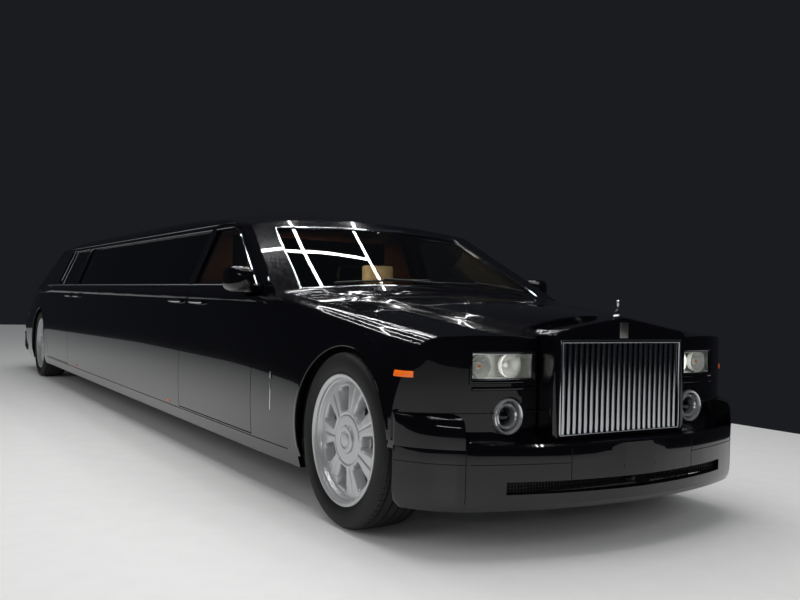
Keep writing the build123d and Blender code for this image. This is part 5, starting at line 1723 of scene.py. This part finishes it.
@dataclass
class Cabin:
    """Seats, dash, steering wheel, partition glass and boot carpet."""

    bench_front: float = 1.612
    bench_back: float = -1.488
    bench_pads: int = 5
    # Section of the dash in (X, Z)
    dash_outline: tuple[Flat, ...] = ((3.2815, 0.560), (3.2815, 0.960), (3.240, 0.984), (3.080, 0.984),
                                      (2.985, 0.960), (2.956, 0.925), (2.975, 0.880), (3.010, 0.650),
                                      (3.080, 0.562))

    def front_seats(self) -> None:
        """Two front seats on moulded bases."""
        for hand, side in SIDES:
            y = side * 0.4375
            for part, back, z, size, lean, channels in (
                    ("cushion", 0.270, 0.485, (0.540, 0.500, 0.120), -3, 4),
                    ("back", 0.625, 0.800, (0.600, 0.500, 0.110), -103, 4),
                    ("headrest", 0.705, 1.165, (0.150, 0.260, 0.075), -95, 1)):
                Cushion(f"front_seat_{part}_{hand}", ("front_seats",), (SEAT_FRONT - back, y, z), size, lean,
                        channels).dress()
            Form().box((SEAT_FRONT - 0.520, y - 0.235, 0.2925), (SEAT_FRONT - 0.030, y + 0.235, 0.430)).box(
                (SEAT_FRONT - 0.640, y - 0.225, 0.430), (SEAT_FRONT - 0.560, y + 0.225, 0.700),
                Matrix.Rotation(math.radians(-13), 3, "Y")).place(
                Piece(f"front_seat_base_{hand}", PLASTIC, bevel=0.010, slot="dash_plastic"))

    def lounge(self) -> None:
        """The long side bench and the rear bench."""
        seats, front, back = ("lounge_seats",), self.bench_front, self.bench_back
        length = (front - back) / self.bench_pads
        for part, y, z, tall, thick, lean in (("cushion", 0.590, 0.580, 0.310, 0.130, 0.0),
                                              ("back", 0.742, 0.800, 0.330, 0.095, 82)):
            for k in range(self.bench_pads):
                Cushion(f"side_bench_{part}_{k + 1}", seats, (front - length * (k + 0.5), y, z),
                        (length - 0.006, tall, thick), lean, 3, "X").dress()
        Form().box((back, 0.435, 0.2925), (front, 0.860, 0.515)).box(
            (back, 0.780, 0.515), (front, 0.866, 0.975)).place(
            Piece("side_bench_base", HIDE, bevel=0.012, segments=3))
        for k in range(3):
            y = (k - 1) * 0.425
            for part, x, z, size, lean in (("cushion", -2.700, 0.585, (0.500, 0.415, 0.130), -2),
                                           ("back", -3.050, 0.890, (0.580, 0.415, 0.120), -107)):
                Cushion(f"rear_bench_{part}_{k + 1}", seats, (x, y, z), size, lean).dress()
        Form().box((-2.900, -0.640, 0.2925), (-2.445, 0.640, 0.520)).box(
            (-3.200, -0.640, 0.602), (-2.900, 0.640, 0.700)).place(
            Piece("rear_bench_base", HIDE, bevel=0.012, segments=3))

    def dashboard(self) -> None:
        """Moulded black dash with a veneer fascia and bright dial rings."""
        Form().weave([[(x, y, z) for x, z in self.dash_outline] for y in (-0.866, 0.866)], capped=True).place(
            Piece("dash_body", PLASTIC, nodes=("dashboard",), bevel=0.008, segments=3, slot="dash_plastic"))
        Form().weave([[(2.968, y, 0.905), (2.973, y, 0.905), (3.004, y, 0.730), (2.999, y, 0.730)]
                      for y in (-0.840, 0.840)], capped=True).place(
            Piece("dash_veneer", VENEER, bevel=0.0015))
        dials = Form()
        for y, radius in ((0.490, 0.048), (0.310, 0.048), (0.0, 0.038), (0.10, 0.026), (-0.10, 0.026)):
            dials.lathe(((radius - 0.006, 0.0), (radius, 0.0), (radius, 0.008), (radius - 0.003, 0.010),
                         (radius - 0.006, 0.008)), (2.987, y, 0.820), (-0.985, 0, -0.174), 36)
        dials.place(Piece("dial_rings", CHROME))

    def steering(self) -> None:
        """Leather rim on two spokes with a padded hub and its column."""
        lean = math.radians(25)
        axis = Vector((-math.cos(lean), 0, math.sin(lean)))
        centre = Vector((2.782, 0.400, 0.900)) + axis * 0.011
        ring = [(0.187 + 0.0125 * math.cos(a), 0.0125 * math.sin(a)) for a in around(12)]
        Form().lathe(ring, centre, axis).place(Piece("steering_rim", HIDE_DARK, nodes=("steering_wheel",)))
        hub = ((0.0001, 0.016), (0.030, 0.015), (0.050, 0.008), (0.058, -0.004), (0.050, -0.016),
               (0.030, -0.024), (0.026, -0.230), (0.0001, -0.230))
        turn = Matrix((Vector((0, 1, 0)), axis.cross(Vector((0, 1, 0))), axis)).transposed()
        spoke = Vector((0.180, 0.012, 0.005))
        Form().lathe(hub, centre, axis, 40, False).box(centre - spoke, centre + spoke, turn).place(
            Piece("steering_hub", PLASTIC, bevel=0.002, slot="dash_plastic"))

    def dress(self) -> None:
        """Builds the cabin and lays the boot's carpet board."""
        self.front_seats()
        self.lounge()
        self.dashboard()
        self.steering()
        Form().box((1.711, -0.602, 0.978), (1.717, 0.602, 1.402)).place(Piece("partition_glass", GLASS_DARK))
        Form().weave([[(x, -half, 0.4205), (x, half, 0.4205), (x, half, 0.4325), (x, -half, 0.4325)]
                      for x, half in ((-3.870, 0.815), (-4.690, 0.815), (-4.745, 0.745))], capped=True).place(
            Piece("boot_carpet", CARPET, bevel=0.003))


@dataclass
class CarriedOver:
    """CAD shapes that stay, each with its own finish, and the fixed glass split by its tint."""

    windscreen_back: float = 2.3
    nodes: tuple[tuple[str, Finish], ...] = (
        ("front_right_glass", GLASS_CLEAR), ("front_left_glass", GLASS_CLEAR),
        ("rear_right_glass", GLASS_DARK), ("rear_left_glass", GLASS_DARK), ("tail_lamps", LENS_RED),
        ("partition", VENEER), ("cabinet", VENEER), ("floor_pan", CARPET), ("chassis", STEEL),
        ("driveline", STEEL), ("front_suspension", STEEL), ("right_knuckle", CAST), ("left_knuckle", CAST),
        ("engine_block", CAST), ("exhaust", STAINLESS), ("rear_floor", UNDERSEAL))

    def dress(self) -> None:
        """Gives every node its finish: dark glass behind the front doors, lighter in front."""
        for node, finish in self.nodes:
            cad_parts[node].data.materials[0] = finish.build()
        for name, finish, ahead in (("windscreen", GLASS_CLEAR, True),
                                    ("mid_and_rear_glass", GLASS_DARK, False)):
            form = Form("fixed_glass")
            unwanted = [f for f in form.mesh.faces
                        if (max(v.co.x for v in f.verts) > self.windscreen_back) is not ahead]
            bmesh.ops.delete(form.mesh, geom=unwanted, context="FACES")
            form.place(Piece(name, finish, nodes=("fixed_glass",)))


@dataclass
class Studio:
    """Camera at the photograph's place, pale floor, and soft strip lights in a dark room."""

    eye: Point = (7.291, -2.724, 0.991)
    yaw: float = 2.584
    roll: float = 0.0274
    focal_px: float = 862
    image_width: int = 800
    sensor: float = 36
    tube_z: float = 3.5
    floor_low: Point = (-19, -6.5, -0.02)
    floor_high: Point = (14, 3.7, 0.0)

    def camera(self) -> None:
        """Puts the camera where the photograph was taken."""
        data = bpy.data.cameras.new("camera")
        data.sensor_width = self.sensor
        data.lens = self.focal_px / self.image_width * self.sensor
        data.clip_end = 200
        eye = hold("camera", data)
        ahead = Vector((math.cos(self.yaw), math.sin(self.yaw), 0))
        right = Vector((math.sin(self.yaw), -math.cos(self.yaw), 0))
        up = right.cross(ahead)
        tilted_right = right * math.cos(self.roll) + up * math.sin(self.roll)
        tilted_up = up * math.cos(self.roll) - right * math.sin(self.roll)
        turn = Matrix((tilted_right, tilted_up, -ahead)).transposed().to_4x4()
        eye.matrix_world = Matrix.Translation(self.eye) @ turn
        bpy.context.scene.camera = eye

    def floor(self) -> None:
        """Pale floor that ends where the walls of the room would stand."""
        mesh = Form().box(self.floor_low, self.floor_high).outward().release("floor")
        mesh.materials.append(FLOOR.build())
        hold("floor", mesh)

    def lights(self) -> None:
        """Slim strips overhead that draw lines in the gloss, and wide soft fills that aren't mirrored."""
        for k in range(5):
            y = -1.9 + 0.8 * k
            self.area(f"tube_along_{k}", (2.6, y, self.tube_z), (2.6, y, 0), (4.6, 0.035), 13, True)
        for k in range(6):
            x = 0.3 + 0.92 * k
            self.area(f"tube_across_{k}", (x, -0.3, self.tube_z), (x, -0.3, 0), (0.035, 3.2), 9, True)
        self.area("fill_right", (3.0, -9.0, 5.0), (0.0, 0.0, 0.6), (9.0, 5.0), 250)
        self.area("fill_front", (11.0, 1.0, 4.5), (3.0, 0.0, 0.6), (6.0, 4.0), 150)
        self.area("fill_top", (0.0, 0.0, 7.0), (0.0, 0.0, 0.0), (12.0, 6.0), 270)
        self.area("tube_front", (9.6, -5.0, 2.2), (4.5, -0.6, 0.6), (3.0, 0.10), 22, True)
        for hand, side in SIDES:
            y, z = side * 0.555, 0.738
            self.area(f"lamp_glow_{hand}", (WING_FRONT - 0.030, y, z), (4.0, y, z), (0.06, 0.24), 0.16)
        self.area("cabin_lamp", (2.45, 0.0, 1.44), (2.45, 0.0, 0.0), (0.8, 0.5), 20)

    def area(self, name: str, place: Point, aim: Point, size: Flat, watts: float,
             mirrored: bool = False) -> None:
        """Adds one rectangular light.

        Args:
            name: its name.
            place: its centre.
            aim: where it points.
            size: its two sides.
            watts: its power.
            mirrored: whether glossy surfaces show it.
        """
        data = bpy.data.lights.new(name, "AREA")
        data.shape = "RECTANGLE"
        data.size, data.size_y = size
        data.energy = watts
        lamp = hold(name, data)
        lamp.location = place
        lamp.rotation_mode = "QUATERNION"
        lamp.rotation_quaternion = (Vector(aim) - Vector(place)).to_track_quat("-Z", "Y")
        lamp.visible_glossy = mirrored
        lamp.visible_camera = False
        lamp.visible_transmission = name in ("fill_right", "fill_front")

    def world(self) -> None:
        """Even soft light; the camera, the gloss and the glass see the dark room instead."""
        world = bpy.data.worlds.new("room")
        world.use_nodes = True
        bpy.context.scene.world = world
        tree = world.node_tree
        tree.nodes.clear()
        path = add_node(tree, "ShaderNodeLightPath").outputs
        seen = path["Is Camera Ray"]
        for ray in ("Is Glossy Ray", "Is Transmission Ray"):
            seen = add_node(tree, "ShaderNodeMath", {"operation": "MAXIMUM"},
                            {0: seen, 1: path[ray]}).outputs[0]
        first = add_node(tree, "ShaderNodeMath", {"operation": "LESS_THAN", 1: 0.5},
                         {0: path["Diffuse Depth"]})
        seen = add_node(tree, "ShaderNodeMath", {"operation": "MULTIPLY"}, {0: seen, 1: first.outputs[0]})
        soft = add_node(tree, "ShaderNodeBackground", {"Color": linear("#E6E8EC"), "Strength": 0.5})
        dark = add_node(tree, "ShaderNodeBackground", {"Color": linear("#1B1C20"), "Strength": 1.0})
        mix = add_node(tree, "ShaderNodeMixShader", None,
                       {0: seen.outputs[0], 1: soft.outputs[0], 2: dark.outputs[0]})
        add_node(tree, "ShaderNodeOutputWorld", None, {0: mix.outputs[0]})
        bpy.context.scene.view_settings.view_transform = "Standard"

    def dress(self) -> None:
        """Builds the studio."""
        for part in (self.camera, self.floor, self.lights, self.world):
            part()


def main() -> None:
    """Builds every sub-assembly in order."""
    logging.basicConfig(level=logging.INFO, format="%(name)s %(message)s")
    Studio().dress()
    bodywork = Bodywork()
    bodywork.dress()
    ends = [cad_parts[name].data for name in ("nose_panel", "tail_lamps", "front_lamps")]
    skin = Skin(bodywork.meshes + ends)
    repeat = Repeater()
    wheels = [RoadWheel(repeat, end, hand, side, x) for end, x in (("front", FRONT_AXLE), ("rear", REAR_AXLE))
              for hand, side in SIDES]
    for part in (CarriedOver(), Brightwork(skin), Grille(repeat), Lamps(skin), BumperTrim(skin, repeat),
                 Cabin(), *wheels):
        part.dress()
        log.info("built %s", type(part).__name__)


if __name__ == "__main__":
    main()
